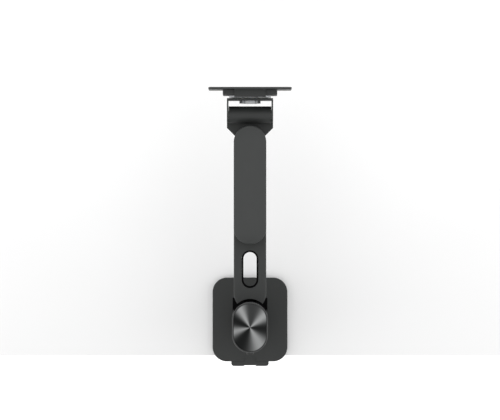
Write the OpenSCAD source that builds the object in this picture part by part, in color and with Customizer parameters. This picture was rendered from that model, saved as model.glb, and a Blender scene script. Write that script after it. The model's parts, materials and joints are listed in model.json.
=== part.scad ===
// Desk-clamped monitor arm: a tall stadium-section column that swivels on a clamped base, a lower
// arm that rides up and down the column, an upper arm, and a tilting, turning monitor head.
// Millimetres. +Z is up and +Y points from the column to the monitor. The origin is on the desk's
// surface, under the column's axis.

/* [Base plate] */
// Width of the base plate
base_w = 107; // [90:1:140]
// Depth of the base plate, front to back
base_d = 120; // [105:1:150]
// Thickness of the base plate
base_t = 9; // [8:0.5:14]
// Radius of the base plate's corners
base_corner = 20.5; // [8:0.5:26]
// How far the middle of the base plate lies in front of the column's axis
base_forward = 3.2; // [0:0.1:8]
// Thickness of the rubber sheet under the base plate
sheet_t = 1.5; // [1:0.5:3]

/* [Desk clamp] */
// Distance from the column's axis back to the desk's rear edge
desk_edge = 47.4; // [44:0.1:52]
// Thickness of the desk that the clamp holds at rest
desk_t = 25; // [12:1:58]
// Thinnest desk that the clamp closes on
desk_thin = 10; // [8:1:12]
// Thickest desk that the clamp opens to
desk_thick = 60; // [58:1:80]
// Width of the clamp's spine
spine_w = 53.6; // [46:0.1:70]
// How far the spine stands out behind the base plate
spine_out = 6.6; // [5:0.1:12]
// Width of the spine's tongue and of the groove down its back
tongue_w = 16.6; // [12:0.1:24]
// Depth of the groove down the spine's back
groove_d = 1.1; // [0.5:0.1:2]
// Thickness of the lower jaw
jaw_t = 12; // [10:0.5:18]
// Diameter of the clamp's screw
screw_d = 12; // [10:0.5:16]
// Lead of the clamp's screw, the travel in one turn
screw_lead = 3; // [2:0.5:4]
// Diameter of the clamp's knob
knob_d = 54; // [44:1:70]
// Height of the clamp's knob
knob_h = 18; // [14:1:26]
// Diameter of the pressure plate
plate_d = 44; // [36:1:50]

/* [Column] */
// Height of the column's top above the desk
column_h = 430; // [400:1:560]
// Width of the column
column_w = 49; // [46:0.5:62]
// Depth of the column, front to back
column_d = 69; // [64:0.5:84]
// Thickness of the column's wall
column_wall = 2.6; // [2:0.1:3.2]
// Width of the slot down the column's front
slot_w = 18; // [16:0.5:22]
// Distance from the column's axis forward to the seam between tube and front panel
seam_y = 18; // [14:0.5:22]
// Height of the cap on top of the column
cap_h = 12; // [10:0.5:20]
// Width of the rim round the spun disc
cap_rim = 2; // [1.5:0.1:4]
// Thickness of the spun disc
disc_t = 1.2; // [0.8:0.1:2]
// Diameter of the post that the column swivels on
post_d = 22; // [20:1:22]

/* [Lift] */
// Height of the lower arm's top above the desk at rest
arm_top = 190; // [180:1:240]
// How far the lower arm lowers from rest
lift_down = 95; // [60:1:95]
// How far the lower arm rises from rest
lift_up = 160; // [60:1:160]
// Diameter of the guide rods
rod_d = 8; // [6:0.5:8]
// Distance between the guide rods
rod_gap = 26; // [25:0.5:28]
// Height of the carriage
carriage_h = 60; // [50:1:70]
// Radius of the counterbalance spring's coil
coil_r = 15; // [12:0.5:15]

/* [Arms] */
// Width of both arms
arm_w = 45.5; // [42:0.5:52]
// Thickness of the lower arm
lower_t = 34; // [32:0.5:44]
// Distance from the column's axis to the elbow
elbow_y = 135; // [134:1:200]
// Distance from the column's axis to the centre of the lower arm's round rear end
heel_y = 42.6; // [40:0.1:46]
// Distance from the column's axis to the middle of the cable slot
cable_y = 77; // [76:0.5:80]
// Width of the cable slot's opening
cable_w = 18.5; // [12:0.5:22]
// Length of the cable slot's opening
cable_l = 48; // [30:0.5:52]
// Width of the cable slot's rim
rim_w = 2.3; // [1.5:0.1:3]
// Distance between the upper arm's two pivots
upper_span = 120; // [110:1:220]
// Height of the upper arm's frame
frame_h = 24; // [22:0.5:34]
// Height of the upper arm's cover
cover_h = 11.5; // [9:0.5:16]
// Diameter of the pivot pins
pin_d = 14; // [10:0.5:14]

/* [Monitor head] */
// Width of the head across the tilt barrel
head_w = 64.6; // [60:0.1:80]
// Distance from the head's pivot forward to the tilt barrel's axis
barrel_forward = 38; // [38:0.5:50]
// Diameter of the tilt barrel
barrel_d = 24; // [22:0.5:26]
// Thickness of the head's plate
head_t = 10; // [8:0.5:14]
// Distance from the head's pivot forward to the corners where the plate narrows
corner_forward = 20; // [18:0.5:24]
// Size of the cut across those corners
corner_cut = 11; // [6:0.5:12]
// Diameter of the tilt shaft
tilt_shaft_d = 12; // [8:0.5:12]
// Thickness of the tilt bracket's ears
ear_t = 2.2; // [1.6:0.1:3]
// Side of the square monitor plate
monitor_side = 116; // [110:1:130]
// Diameter of the holes in the monitor plate
monitor_hole_d = 4.5; // [4.2:0.1:5.5]

/* [Hidden] */
$fn = 64;

// Clearances: a shaft in its bore, a piece in its seat, and two moving pieces side by side
run = 0.05;
seat = 0.05;
gap = 0.3;
cut = 1;

// Colours
graphite = [0.24, 0.245, 0.242];
black = [0.06, 0.06, 0.06];
steel = [0.6, 0.61, 0.62];
spun = [0.55, 0.56, 0.56];
acetal = [0.85, 0.84, 0.8];
brass = [0.72, 0.6, 0.32];

// Base
base_z = sheet_t;
base_top = base_z + base_t;
base_back = base_forward - base_d / 2;
base_bevel = 0.8;
recess_d = 6.2;
post_flange_d = 48;
post_flange_t = 4;
post_screw_r = 18;
post_screw_d = 5;
washer_t = 1.5;
foot_z = base_top + washer_t;
foot_h = 26;
foot_top = foot_z + foot_h;
bush_wall = 2;
post_top = foot_top + gap;
stop_t = 3;
stop_hub_r = 15;
stop_tab_r = 20.3;
stop_tab_w = 8;
stop_boss_r = 2;
stop_ring_r = 18.3;
stop_angle = 90 + asin((stop_tab_w / 2 + stop_boss_r) / stop_ring_r);
bolt_d = 10;
bolt_head_d = 17;
bolt_head_h = 5.5;

// Desk clamp, with its screw under the base plate
spine_back = base_back - spine_out;
spine_front = -desk_edge - 2;
spine_flange_l = 20;
spine_flange_w = 40;
spine_top = base_top - 1.5;
spine_screw_y = spine_front + 11;
spine_screw_x = 13;
plate_t = 5;
pressure_pad_t = 3;
jaw_top = -desk_thick - pressure_pad_t - plate_t - 4;
jaw_bottom = jaw_top - jaw_t;
jaw_y = -desk_edge + 27;
jaw_nose_r = 17;
spine_bottom = jaw_bottom - 4;
jaw_bolt_z = jaw_top - jaw_t / 2;
nut_r = screw_d / 2 + 4;
nut_flange_r = nut_r + 2.5;
nut_flange_t = 3;
nut_bottom = jaw_bottom - nut_flange_t;
plate_z = -desk_t - pressure_pad_t - plate_t;
knob_top = plate_z + (nut_bottom - 1 - (-desk_thin - pressure_pad_t - plate_t));
knob_lobes = 6;
m5 = 5;
m5_head_d = 9.5;
m5_head_h = 2.8;

// Column
column_r = column_w / 2;
column_span = column_d - column_w;
inner_r = column_r - column_wall;
tube_z = foot_z + gap;
tube_top = column_h - cap_h;
plug_r = inner_r - seat;
cap_bevel = 1.1;
cap_plug_h = 5;
block_h = 14;
block_z = tube_top - cap_plug_h - block_h;
rod_y = 14.5;
rod_seat = 12;
leg_t = 3.5;
drum_half = 10;
drum_r = coil_r - 5;
axle_d = 6;

// Lift
lower_z = arm_top - lower_t;
carriage_z = lower_z + lower_t / 2 - carriage_h / 2;
carriage_top = carriage_z + carriage_h;
carriage_back = 4.2;
carriage_front = 20.5;
rod_bush_r = rod_d / 2 + 1.5;
rod_bush_l = 14;
neck_w = slot_w - 1;
neck_h = 22;
neck_z = lower_z + (lower_t - neck_h) / 2;
neck_end = heel_y + 3.4;
slot_z0 = neck_z - lift_down - 3;
slot_z1 = neck_z + neck_h + lift_up + 3;
drum_y = carriage_back - 0.2 - coil_r;
drum_z = block_z - coil_r - 2;
strip_t = 0.4;

// Arms
arm_r = arm_w / 2;
arm_edge = 2.5;
cheek_w = column_w - 0.4;
cheek_front = heel_y - 6;
cover_edge = 1.5;
pivot_washer_t = 1;
upper_z = arm_top + pivot_washer_t;
cover_z = upper_z + frame_h;
frame_wall = 3;
boss_floor = 15;
pivot_bush_r = pin_d / 2 + 3;
pin_head_d = pin_d + 10;
pin_head_h = 4;
well_r = 15;
well_top = arm_top - 18;
spring_h = 3;
nut_h = 8;
nut_af = 22;
well_cap_t = 2.5;
head_y = elbow_y + upper_span;
channel_w = 18;
channel_d = 10;
channel_end = 24;
channel_y = elbow_y + channel_end;
channel_l = upper_span - 2 * channel_end;
strip_inset = 9;
strip_cover_t = 2;
cover_wall = 2.4;
cover_crown = 2.2;
arm_screw_x = 4.4;
arm_screw_l = 18;
arm_screw_head_d = 8.2;
arm_screw_head_h = 3;

// Monitor head
barrel_y = head_y + barrel_forward;
barrel_r = barrel_d / 2;
barrel_z = arm_top + barrel_r - 0.5;
ear_r = barrel_r - 1;
barrel_half = head_w / 2 - ear_t - gap;
hub_r = 20;
hub_wall_bottom = lower_z;
tilt_bush_wall = 2;
tilt_bush_l = 10;
tension_d = 6;
bracket_back = barrel_y + 20;
bracket_t = 3;
bracket_half = 34;
turn_shaft_d = 20;
turn_stop_r = 26;
turn_stop_d = 4;
turn_washer_t = 1;
turn_flange_t = 3;
turn_flange_r = 29.5;
turn_nut_t = 4;
flange_y = bracket_back + bracket_t + turn_washer_t;
receiver_y = flange_y + turn_flange_t;
receiver_t = 8;
receiver_w = 76;
receiver_half = 42;
plate_y = receiver_y + receiver_t;
monitor_plate_t = 3;
hub_screw_r = 15;
hub_screw_d = 4;
slider_y = receiver_y + 2;
slider_t = 3;
slider_w = 40;
slider_top = -28;
press_travel = 5;
tip_w = 6;
tip_drop = 4;
catch_t = 3;
hook_w = 44;
hook_t = 3;
hook_lip = 2.5;
hook_grip = 4;
plate_hole_d = 44;
thumb_w = 25;
thumb_t = 10;
thumb_h = 8;
stem_w = 16;
vesa_large = 100;
vesa_small = 75;

// An outline's points followed by their mirror images, for a shape that is symmetric about X = 0
function both_sides(p) =
    concat(p, [for (i = [len(p) - 1 : -1 : 0]) if (p[i][0] > 0) [-p[i][0], p[i][1]]]);

// A quarter round of radius e that ends at the corner (r, z)
function round_edge(r, z, e) =
    [for (i = [0 : 5]) [r - e + e * cos(18 * i), z - e + e * sin(18 * i)]];

// The half section of a slab of half width r and height h, bevelled by b below and c above
function bevelled(r, h, b, c) =
    [[0, 0], [r - b, 0], [r, b], [r, h - c], [r - c, h], [0, h]];

// An upright bar with round ends: its rear centre at the origin, its front centre at (0, span)
module stadium(r, span, h) {
    for (y = [0, span]) translate([0, y, 0]) cylinder(r = r, h = h);
    translate([-r, 0, 0]) cube([2 * r, span, h]);
}

// The same bar with its edges shaped by a half section
module shaped_stadium(span, section) {
    for (y = [0, span]) translate([0, y, 0]) rotate_extrude() polygon(section);
    translate([0, span, 0]) rotate([90, 0, 0]) linear_extrude(span) polygon(both_sides(section));
}

// A flat plate centred on the origin, with round corners and bevelled edges
module plate(w, d, h, r, b, c) {
    for (x = [-1, 1], y = [-1, 1]) translate([x * (w / 2 - r), y * (d / 2 - r), 0])
        rotate_extrude() polygon(bevelled(r, h, b, c));
    translate([0, d / 2 - r, 0]) rotate([90, 0, 0])
        linear_extrude(d - 2 * r) polygon(both_sides(bevelled(w / 2, h, b, c)));
    translate([r - w / 2, 0, 0]) rotate([90, 0, 90])
        linear_extrude(w - 2 * r) polygon(both_sides(bevelled(d / 2, h, b, c)));
}

// A plate that stands upright, facing +Y, its back at y = 0 and its centre on the Y axis
module upright_plate(w, h, t, r, b) {
    rotate([-90, 0, 0]) plate(w, h, t, r, b, b);
}

module ring(r_out, r_in, h) {
    difference() {
        cylinder(r = r_out, h = h);
        translate([0, 0, -cut]) cylinder(r = r_in, h = h + 2 * cut);
    }
}

// A socket screw: its head's underside at z = 0, its shank downwards
module socket_screw(d, l, head_d, head_h) {
    difference() {
        cylinder(d = head_d, h = head_h);
        translate([0, 0, head_h - head_h * 0.6]) cylinder(d = d * 0.9, h = head_h, $fn = 6);
    }
    translate([0, 0, -l]) cylinder(d = d, h = l);
}

// A countersunk screw: its flat face at z = 0, the rest downwards
module flat_screw(d, l, head_d, head_h) {
    difference() {
        translate([0, 0, -head_h]) cylinder(d1 = d, d2 = head_d, h = head_h);
        translate([0, 0, -head_h * 0.6]) cylinder(d = d * 0.6, h = head_h, $fn = 6);
    }
    translate([0, 0, -l]) cylinder(d = d, h = l - head_h);
}

// The hole that a countersunk screw sits in
module flat_screw_hole(d, l, head_d, head_h) {
    translate([0, 0, -head_h]) cylinder(d1 = d + 2 * seat, d2 = head_d + 2 * seat, h = head_h);
    cylinder(d = head_d + 2 * seat, h = cut);
    translate([0, 0, -l]) cylinder(d = d + 2 * seat, h = l - head_h + seat);
}

// The column's plan: a stadium centred on the axis
module column_plan(r, h) {
    translate([0, -column_span / 2, 0]) stadium(r, column_span, h);
}

// ---- Base and desk clamp ----

module spine_screw_places() {
    for (x = [-1, 1]) translate([x * spine_screw_x, spine_screw_y, base_z]) rotate([180, 0, 0]) children();
}

module post_screw_places() {
    for (a = [45 : 90 : 315]) rotate([0, 0, a]) translate([post_screw_r, 0, base_z])
        rotate([180, 0, 0]) children();
}

module jaw_bolt_places() {
    for (x = [-1, 1]) translate([x * spine_screw_x, spine_back, jaw_bolt_z]) rotate([90, 0, 0]) children();
}

module base_plate() {
    color(graphite) difference() {
        translate([0, base_forward, base_z]) plate(base_w, base_d, base_t, base_corner, 0.4, base_bevel);
        // Pocket and bore for the pivot post
        translate([0, 0, base_z - cut]) cylinder(d = post_flange_d + 2 * seat, h = post_flange_t + cut);
        translate([0, 0, base_z]) cylinder(d = post_d + 2 * seat, h = base_t + cut);
        // Pocket for the clamp's flange, and the notch for its tongue
        translate([-spine_flange_w / 2 - seat, base_back - cut, base_z - cut])
            cube([spine_flange_w + 2 * seat, spine_front + spine_flange_l + seat - base_back + cut,
                post_flange_t + cut]);
        translate([-tongue_w / 2 - seat, base_back - cut, base_z - cut])
            cube([tongue_w + 2 * seat, recess_d + seat + cut, base_t + 2 * cut]);
        spine_screw_places() translate([0, 0, -base_t + 1]) cylinder(d = m5 + 2 * seat, h = base_t);
        post_screw_places() translate([0, 0, -base_t + 1]) cylinder(d = post_screw_d + 2 * seat, h = base_t);
    }
}

// The rubber sheet ends where the clamp's spine begins, at the desk's edge
module base_pad() {
    front = base_forward + base_d / 2 - 1;
    back = spine_front + 2;
    r = base_corner - 1;
    color(black) intersection() {
        translate([0, base_forward, 0]) plate(base_w - 2, base_d - 2, sheet_t, r, 0, 0);
        translate([-base_w / 2, back, 0]) cube([base_w, front - back + cut, sheet_t]);
    }
}

module pivot_post() {
    color(steel) difference() {
        translate([0, 0, base_z]) union() {
            cylinder(d = post_flange_d, h = post_flange_t);
            cylinder(d = post_d, h = post_top - base_z);
        }
        post_screw_places() flat_screw_hole(post_screw_d, base_t - 1, m5_head_d, m5_head_h);
        translate([0, 0, post_top - 22]) cylinder(d = bolt_d + 2 * seat, h = 22 + cut);
    }
}

module post_screws() {
    color(steel) post_screw_places() flat_screw(post_screw_d, base_t - 2, m5_head_d, m5_head_h);
}

module thrust_washer() {
    color(acetal) translate([0, 0, base_top]) ring(column_r - 4, post_d / 2 + gap, washer_t);
}

// Keyed to the post, its tab meets the column foot's two bosses a quarter turn each way
module stop_washer() {
    color(steel) translate([0, 0, post_top]) difference() {
        union() {
            cylinder(r = stop_hub_r, h = stop_t);
            translate([-stop_tab_w / 2, -stop_tab_r, 0]) cube([stop_tab_w, stop_tab_r, stop_t]);
        }
        translate([0, 0, -cut]) cylinder(d = bolt_d + 2 * seat, h = stop_t + 2 * cut);
    }
}

module swivel_bolt() {
    color(steel) translate([0, 0, post_top + stop_t]) socket_screw(bolt_d, 20, bolt_head_d, bolt_head_h);
}

module clamp_spine() {
    back_h = spine_top - spine_bottom;
    color(graphite) difference() {
        union() {
            // Upright wall behind the desk's edge, its rear corners rounded
            intersection() {
                translate([0, spine_back + 15, spine_bottom]) plate(spine_w, 30, back_h, 4, 0, 1);
                translate([-spine_w / 2, spine_back, spine_bottom])
                    cube([spine_w, spine_front - spine_back, back_h]);
            }
            translate([-spine_flange_w / 2, spine_front - 1, base_z])
                cube([spine_flange_w, spine_flange_l + 1, post_flange_t]);
        }
        // Room for the base plate, which the tongue rises through
        difference() {
            translate([-base_w / 2, base_back - seat, base_z + post_flange_t])
                cube([base_w, base_d / 2, base_t]);
            translate([-tongue_w / 2, base_back - cut, base_z])
                cube([tongue_w, recess_d + cut, base_t]);
        }
        // Room beside the flange
        for (x = [-1, 1])
            translate([x * (spine_flange_w / 2 + base_w / 2 + seat) - base_w / 2, base_back - seat, base_z])
                cube([base_w, base_d / 2, base_t + cut]);
        // Groove down the back
        translate([-tongue_w / 2 - 0.2, spine_back - cut, spine_bottom - cut])
            cube([tongue_w + 0.4, groove_d + cut, back_h + 2 * cut]);
        spine_screw_places() flat_screw_hole(m5, base_t - 1, m5_head_d, m5_head_h);
        jaw_bolt_places() flat_screw_hole(m5, 30, m5_head_d, m5_head_h);
    }
}

module clamp_jaw() {
    color(graphite) difference() {
        union() {
            translate([0, jaw_y, jaw_bottom]) cylinder(r = jaw_nose_r, h = jaw_t);
            translate([-jaw_nose_r, spine_front, jaw_bottom]) cube([2 * jaw_nose_r, jaw_y - spine_front, jaw_t]);
            translate([-spine_w / 2 + 4, spine_front, jaw_bottom - 3]) cube([spine_w - 8, 6, jaw_t + 9]);
        }
        translate([0, jaw_y, jaw_bottom - cut]) cylinder(r = nut_r + seat, h = jaw_t + 2 * cut);
        jaw_bolt_places() translate([0, 0, -36]) cylinder(d = m5 + 2 * seat, h = 40);
    }
}

// Countersunk screws: two up through the spine's flange into the base, two forward into the jaw
module clamp_bolts() {
    color(steel) {
        spine_screw_places() flat_screw(m5, base_t - 2, m5_head_d, m5_head_h);
        jaw_bolt_places() flat_screw(m5, 24, m5_head_d, m5_head_h);
    }
}

module screw_nut() {
    color(brass) translate([0, jaw_y, nut_bottom]) difference() {
        union() {
            cylinder(r = nut_flange_r, h = nut_flange_t);
            cylinder(r = nut_r, h = jaw_t + nut_flange_t);
        }
        translate([0, 0, -cut]) cylinder(d = screw_d + 2 * run, h = jaw_t + nut_flange_t + 2 * cut);
    }
}

module pressure_plate() {
    color(steel) translate([0, jaw_y, plate_z]) difference() {
        union() {
            cylinder(d1 = plate_d - 4, d2 = plate_d, h = 2);
            translate([0, 0, 2]) cylinder(d = plate_d, h = plate_t - 2);
        }
        // Socket for the screw's collar
        translate([0, 0, -cut]) cylinder(d = screw_d + 2 * run, h = cut + 1);
        translate([0, 0, 0.99]) cylinder(d = screw_d + 4, h = plate_t);
    }
}

module pressure_pad() {
    color(black) translate([0, jaw_y, plate_z + plate_t]) cylinder(d = plate_d - 1, h = pressure_pad_t);
}

module clamp_screw() {
    rod_bottom = knob_top - knob_h + 4;
    thread_top = plate_z - 2;
    turns = floor((thread_top - knob_top) / screw_lead);
    r = screw_d / 2;
    color(steel) translate([0, jaw_y, 0]) {
        // Rings at the thread's lead and depth stand for its helix
        translate([0, 0, rod_bottom]) cylinder(r = r, h = knob_top - rod_bottom);
        translate([0, 0, knob_top + turns * screw_lead])
            cylinder(r = r, h = plate_z + 1 + gap - knob_top - turns * screw_lead);
        translate([0, 0, plate_z + 1 + gap]) cylinder(d = screw_d + 3.4, h = plate_t - 1 - 2 * gap);
        for (i = [0 : turns - 1]) translate([0, 0, knob_top + i * screw_lead]) rotate_extrude()
            polygon([[0, 0], [r, 0], [r, screw_lead * 0.3], [r - 1.2, screw_lead * 0.5],
                [r - 1.2, screw_lead * 0.8], [r, screw_lead], [0, screw_lead]]);
    }
}

module clamp_knob() {
    lobe_r = knob_d * 0.17;
    color(black) translate([0, jaw_y, knob_top - knob_h]) difference() {
        union() {
            cylinder(d = knob_d * 0.7, h = knob_h);
            for (i = [0 : knob_lobes - 1]) rotate([0, 0, i * 360 / knob_lobes])
                translate([knob_d / 2 - lobe_r, 0, 0]) {
                    translate([0, 0, 1.5]) cylinder(r = lobe_r, h = knob_h - 3);
                    cylinder(r1 = lobe_r - 1.5, r2 = lobe_r, h = 1.5);
                    translate([0, 0, knob_h - 1.5]) cylinder(r1 = lobe_r, r2 = lobe_r - 1.5, h = 1.5);
                }
        }
        translate([0, 0, 4]) cylinder(d = screw_d + 2 * seat, h = knob_h);
    }
}

// ---- Column ----

module column_shell(z0, z1) {
    difference() {
        translate([0, 0, z0]) column_plan(column_r, z1 - z0);
        translate([0, 0, z0 - cut]) column_plan(inner_r, z1 - z0 + 2 * cut);
    }
}

// Aluminium tube with an open front, closed by the front panel
module column_tube() {
    color(graphite) difference() {
        column_shell(tube_z, tube_top);
        translate([-column_w, seam_y, tube_z - cut]) cube([2 * column_w, column_d, tube_top]);
        column_screw_places() cylinder(d = m5 + 2 * seat, h = 20, center = true);
    }
}

module front_panel() {
    color(black) difference() {
        intersection() {
            column_shell(tube_z, tube_top);
            translate([-column_w, seam_y, tube_z]) cube([2 * column_w, column_d, tube_top - tube_z]);
        }
        translate([-slot_w / 2, seam_y, slot_z0]) cube([slot_w, column_d, slot_z1 - slot_z0]);
    }
}

// Screws through the tube's rear wall into the foot and the top block
module column_screw_places() {
    for (z = [foot_z + foot_h / 2, block_z + block_h / 2])
        translate([0, -column_d / 2, z]) rotate([90, 0, 0]) children();
}

module column_foot() {
    color(graphite) difference() {
        union() {
            translate([0, 0, foot_z]) column_plan(plug_r, foot_h);
            for (s = [-1, 1]) rotate([0, 0, -90 + s * stop_angle])
                translate([stop_ring_r, 0, foot_top - 1]) cylinder(r = stop_boss_r, h = stop_t + 1 + gap);
        }
        translate([0, 0, foot_z - cut]) cylinder(r = post_d / 2 + bush_wall + seat, h = foot_h + 2 * cut);
        rod_places() translate([0, 0, foot_top - rod_seat]) cylinder(d = rod_d + 2 * seat, h = rod_seat + cut);
        column_screw_places() translate([0, 0, -16]) cylinder(d = m5 + 2 * seat, h = 20);
    }
}

module swivel_bush() {
    color(acetal) translate([0, 0, foot_z]) ring(post_d / 2 + bush_wall, post_d / 2 + run, foot_h);
}

module column_screws() {
    color(steel) column_screw_places() socket_screw(m5, 14, m5_head_d, 2);
}

module rod_places() {
    for (x = [-1, 1]) translate([x * rod_gap / 2, rod_y, 0]) children();
}

module guide_rods() {
    z0 = foot_top - rod_seat;
    color(steel) rod_places() translate([0, 0, z0]) cylinder(d = rod_d, h = block_z + rod_seat - z0);
}

// Closes the tube's top inside and carries the spring drum between two legs
module top_block() {
    leg_bottom = drum_z - axle_d;
    color(graphite) difference() {
        union() {
            translate([0, 0, block_z]) column_plan(plug_r, block_h);
            for (x = [-1, 1]) translate([x * (drum_half + 0.6 + leg_t / 2), drum_y, (leg_bottom + block_z) / 2 + 0.5])
                cube([leg_t, 14, block_z - leg_bottom + 1], center = true);
        }
        rod_places() translate([0, 0, block_z - cut]) cylinder(d = rod_d + 2 * seat, h = rod_seat + cut);
        translate([0, drum_y, drum_z]) rotate([0, 90, 0])
            cylinder(d = axle_d + 2 * seat, h = column_w, center = true);
        column_screw_places() translate([0, 0, -16]) cylinder(d = m5 + 2 * seat, h = 20);
    }
}

module column_cap() {
    color(graphite) difference() {
        union() {
            translate([0, -column_span / 2, tube_top])
                shaped_stadium(column_span, bevelled(column_r, cap_h, 0, cap_bevel));
            translate([0, 0, tube_top - cap_plug_h]) column_plan(plug_r, cap_plug_h + 1);
        }
        translate([0, 0, column_h - disc_t - 0.5]) column_plan(column_r - cap_rim, cap_h);
        translate([0, 0, tube_top - cap_plug_h - cut]) column_plan(plug_r - 3, cap_h - 2);
    }
}

// Shallow spun face, turned about its middle, with a raised rim bevel
module cap_disc() {
    r = column_r - cap_rim - seat;
    color(spun) translate([0, -column_span / 2, column_h - disc_t - 0.5])
        shaped_stadium(column_span, bevelled(r, disc_t, 0, 0.3));
}

module drum_axle() {
    half = drum_half + 0.6 + leg_t;
    color(steel) translate([-half, drum_y, drum_z]) rotate([0, 90, 0]) cylinder(d = axle_d, h = 2 * half);
}

// Free run of the counterbalance spring, from its coil down to the carriage
module spring_strip() {
    color(steel) translate([-drum_half + 1, carriage_back + 0.1, carriage_top])
        cube([2 * drum_half - 2, strip_t, drum_z - carriage_top]);
}

// ---- Spring drum ----

module spring_drum() {
    color(acetal) translate([0, drum_y, drum_z]) rotate([0, 90, 0]) difference() {
        union() {
            cylinder(r = drum_r - seat, h = 2 * drum_half, center = true);
            for (s = [-1, 1]) translate([0, 0, s * (drum_half - 0.5)])
                cylinder(r = coil_r - 1, h = 1, center = true);
        }
        cylinder(d = axle_d + 2 * run, h = 3 * drum_half, center = true);
    }
}

module spring_coil() {
    width = 2 * drum_half - 2 - 2 * seat;
    color(steel) translate([-width / 2, drum_y, drum_z]) rotate([0, 90, 0]) ring(coil_r, drum_r, width);
}

// ---- Carriage and lower arm ----

module carriage() {
    color(graphite) difference() {
        union() {
            intersection() {
                translate([0, 0, carriage_z]) column_plan(inner_r - 0.7, carriage_h);
                translate([-column_w, carriage_back, carriage_z])
                    cube([2 * column_w, carriage_front - carriage_back, carriage_h]);
            }
            translate([-neck_w / 2, carriage_back, neck_z]) cube([neck_w, neck_end - carriage_back, neck_h]);
        }
        rod_places() translate([0, 0, carriage_z - cut]) cylinder(r = rod_bush_r + seat, h = carriage_h + 2 * cut);
        arm_screw_places() cylinder(d = m5 + 2 * seat, h = arm_screw_l);
    }
}

module carriage_bushes() {
    color(acetal) for (z = [carriage_z, carriage_top - rod_bush_l])
        rod_places() translate([0, 0, z]) ring(rod_bush_r, rod_d / 2 + run, rod_bush_l);
}

// Two screws up through the lower arm into the carriage's neck
module arm_screw_places() {
    for (x = [-1, 1]) translate([x * arm_screw_x, heel_y - 1.5, neck_z - seat]) children();
}

module cable_slot(r_extra, z, h) {
    r = cable_w / 2 + r_extra;
    translate([0, cable_y - (cable_l - cable_w) / 2, z]) stadium(r, cable_l - cable_w, h);
}

// Well under a pivot for its nut and springs, and the bore above it
module pivot_well(y) {
    translate([0, y, lower_z - cut]) cylinder(r = well_r + seat, h = well_top - lower_z + cut);
    translate([0, y, lower_z]) cylinder(d = pin_d + 2 * seat, h = lower_t + cut);
}

module lower_arm() {
    section = concat([[0, 0], [arm_r - 1.5, 0], [arm_r, 1.5]], round_edge(arm_r, lower_t, arm_edge),
        [[0, lower_t]]);
    color(graphite) difference() {
        translate([0, heel_y, lower_z]) shaped_stadium(elbow_y - heel_y, section);
        // The round heel is scooped to clear the column
        translate([0, 0, lower_z - cut]) column_plan(column_r + 0.8, lower_t + 2 * cut);
        translate([-neck_w / 2 - seat, 0, neck_z - seat])
            cube([neck_w + 2 * seat, neck_end + seat, neck_h + 2 * seat]);
        cable_slot(rim_w + seat, lower_z - cut, lower_t + 2 * cut);
        pivot_well(elbow_y);
        arm_screw_places() {
            translate([0, 0, -lower_t]) cylinder(d = m5 + 2 * seat, h = lower_t + cut);
            translate([0, 0, -lower_t])
                cylinder(d = arm_screw_head_d + 8 * seat, h = lower_t - arm_screw_head_h);
        }
    }
}

module arm_screws() {
    color(steel) arm_screw_places() translate([0, 0, -arm_screw_head_h]) rotate([180, 0, 0])
        socket_screw(m5, arm_screw_l, arm_screw_head_d, arm_screw_head_h);
}

// Fillers between the arm's round heel and the column, as wide as the column
module arm_cheeks() {
    color(black) difference() {
        translate([-cheek_w / 2, seam_y, lower_z + 1.5])
            cube([cheek_w, cheek_front - seam_y, lower_t - 1.5 - arm_edge]);
        translate([0, 0, lower_z]) column_plan(column_r + 0.8, lower_t);
        translate([0, heel_y, lower_z]) cylinder(r = arm_r + seat, h = lower_t);
    }
}

// Liner of the cable slot, flush with the arm so that the upper arm can swing over it
module cable_rim() {
    color(black) difference() {
        cable_slot(rim_w, lower_z, lower_t - 0.2);
        cable_slot(0, lower_z - cut, lower_t + 2 * cut);
        translate([0, 0, arm_top - 1]) cable_slot(0.6, 0, 2);
    }
}

// ---- Pivot hardware, the same at the elbow and at the head ----

// Shoulder pin with its head inside the upper arm and its nut in the well below
module pivot_pin(y) {
    top = upper_z + boss_floor + gap;
    bottom = well_top - spring_h - nut_h;
    color(steel) translate([0, y, 0]) {
        translate([0, 0, bottom]) cylinder(d = pin_d, h = top - bottom + 0.5);
        translate([0, 0, top]) difference() {
            cylinder(d = pin_head_d, h = pin_head_h);
            translate([0, 0, 1.5]) cylinder(d = 9, h = pin_head_h, $fn = 6);
        }
    }
}

module pivot_washer(y) {
    color(acetal) translate([0, y, arm_top]) ring(hub_r - 2, pin_d / 2 + seat, pivot_washer_t);
}

// Two dished spring washers, face to face
module pivot_springs(y) {
    color(steel) translate([0, y, well_top - spring_h]) {
        for (s = [0, 1]) translate([0, 0, s * spring_h]) mirror([0, 0, s]) rotate_extrude()
            polygon([[pin_d / 2 + seat, 0], [pin_d / 2 + 5, spring_h / 2 - 0.7],
                [pin_d / 2 + 5, spring_h / 2], [pin_d / 2 + seat, 0.7]]);
    }
}

module pivot_nut(y) {
    color(steel) translate([0, y, well_top - spring_h - nut_h]) difference() {
        cylinder(d = nut_af / cos(30), h = nut_h, $fn = 6);
        translate([0, 0, -cut]) cylinder(d = pin_d + 2 * seat, h = nut_h + 2 * cut);
    }
}

module pivot_bush(y) {
    color(acetal) translate([0, y, upper_z]) ring(pivot_bush_r, pin_d / 2 + run, boss_floor);
}

module well_cap(y) {
    color(black) translate([0, y, lower_z]) cylinder(r = well_r, h = well_cap_t);
}

module elbow_pin() { pivot_pin(elbow_y); }
module elbow_washer() { pivot_washer(elbow_y); }
module elbow_springs() { pivot_springs(elbow_y); }
module elbow_nut() { pivot_nut(elbow_y); }
module elbow_cap() { well_cap(elbow_y); }
module elbow_bush() { pivot_bush(elbow_y); }
module head_bush() { pivot_bush(head_y); }
module head_pin() { pivot_pin(head_y); }
module head_washer() { pivot_washer(head_y); }
module head_springs() { pivot_springs(head_y); }
module head_nut() { pivot_nut(head_y); }
module head_cap() { well_cap(head_y); }

// ---- Upper arm ----

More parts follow.
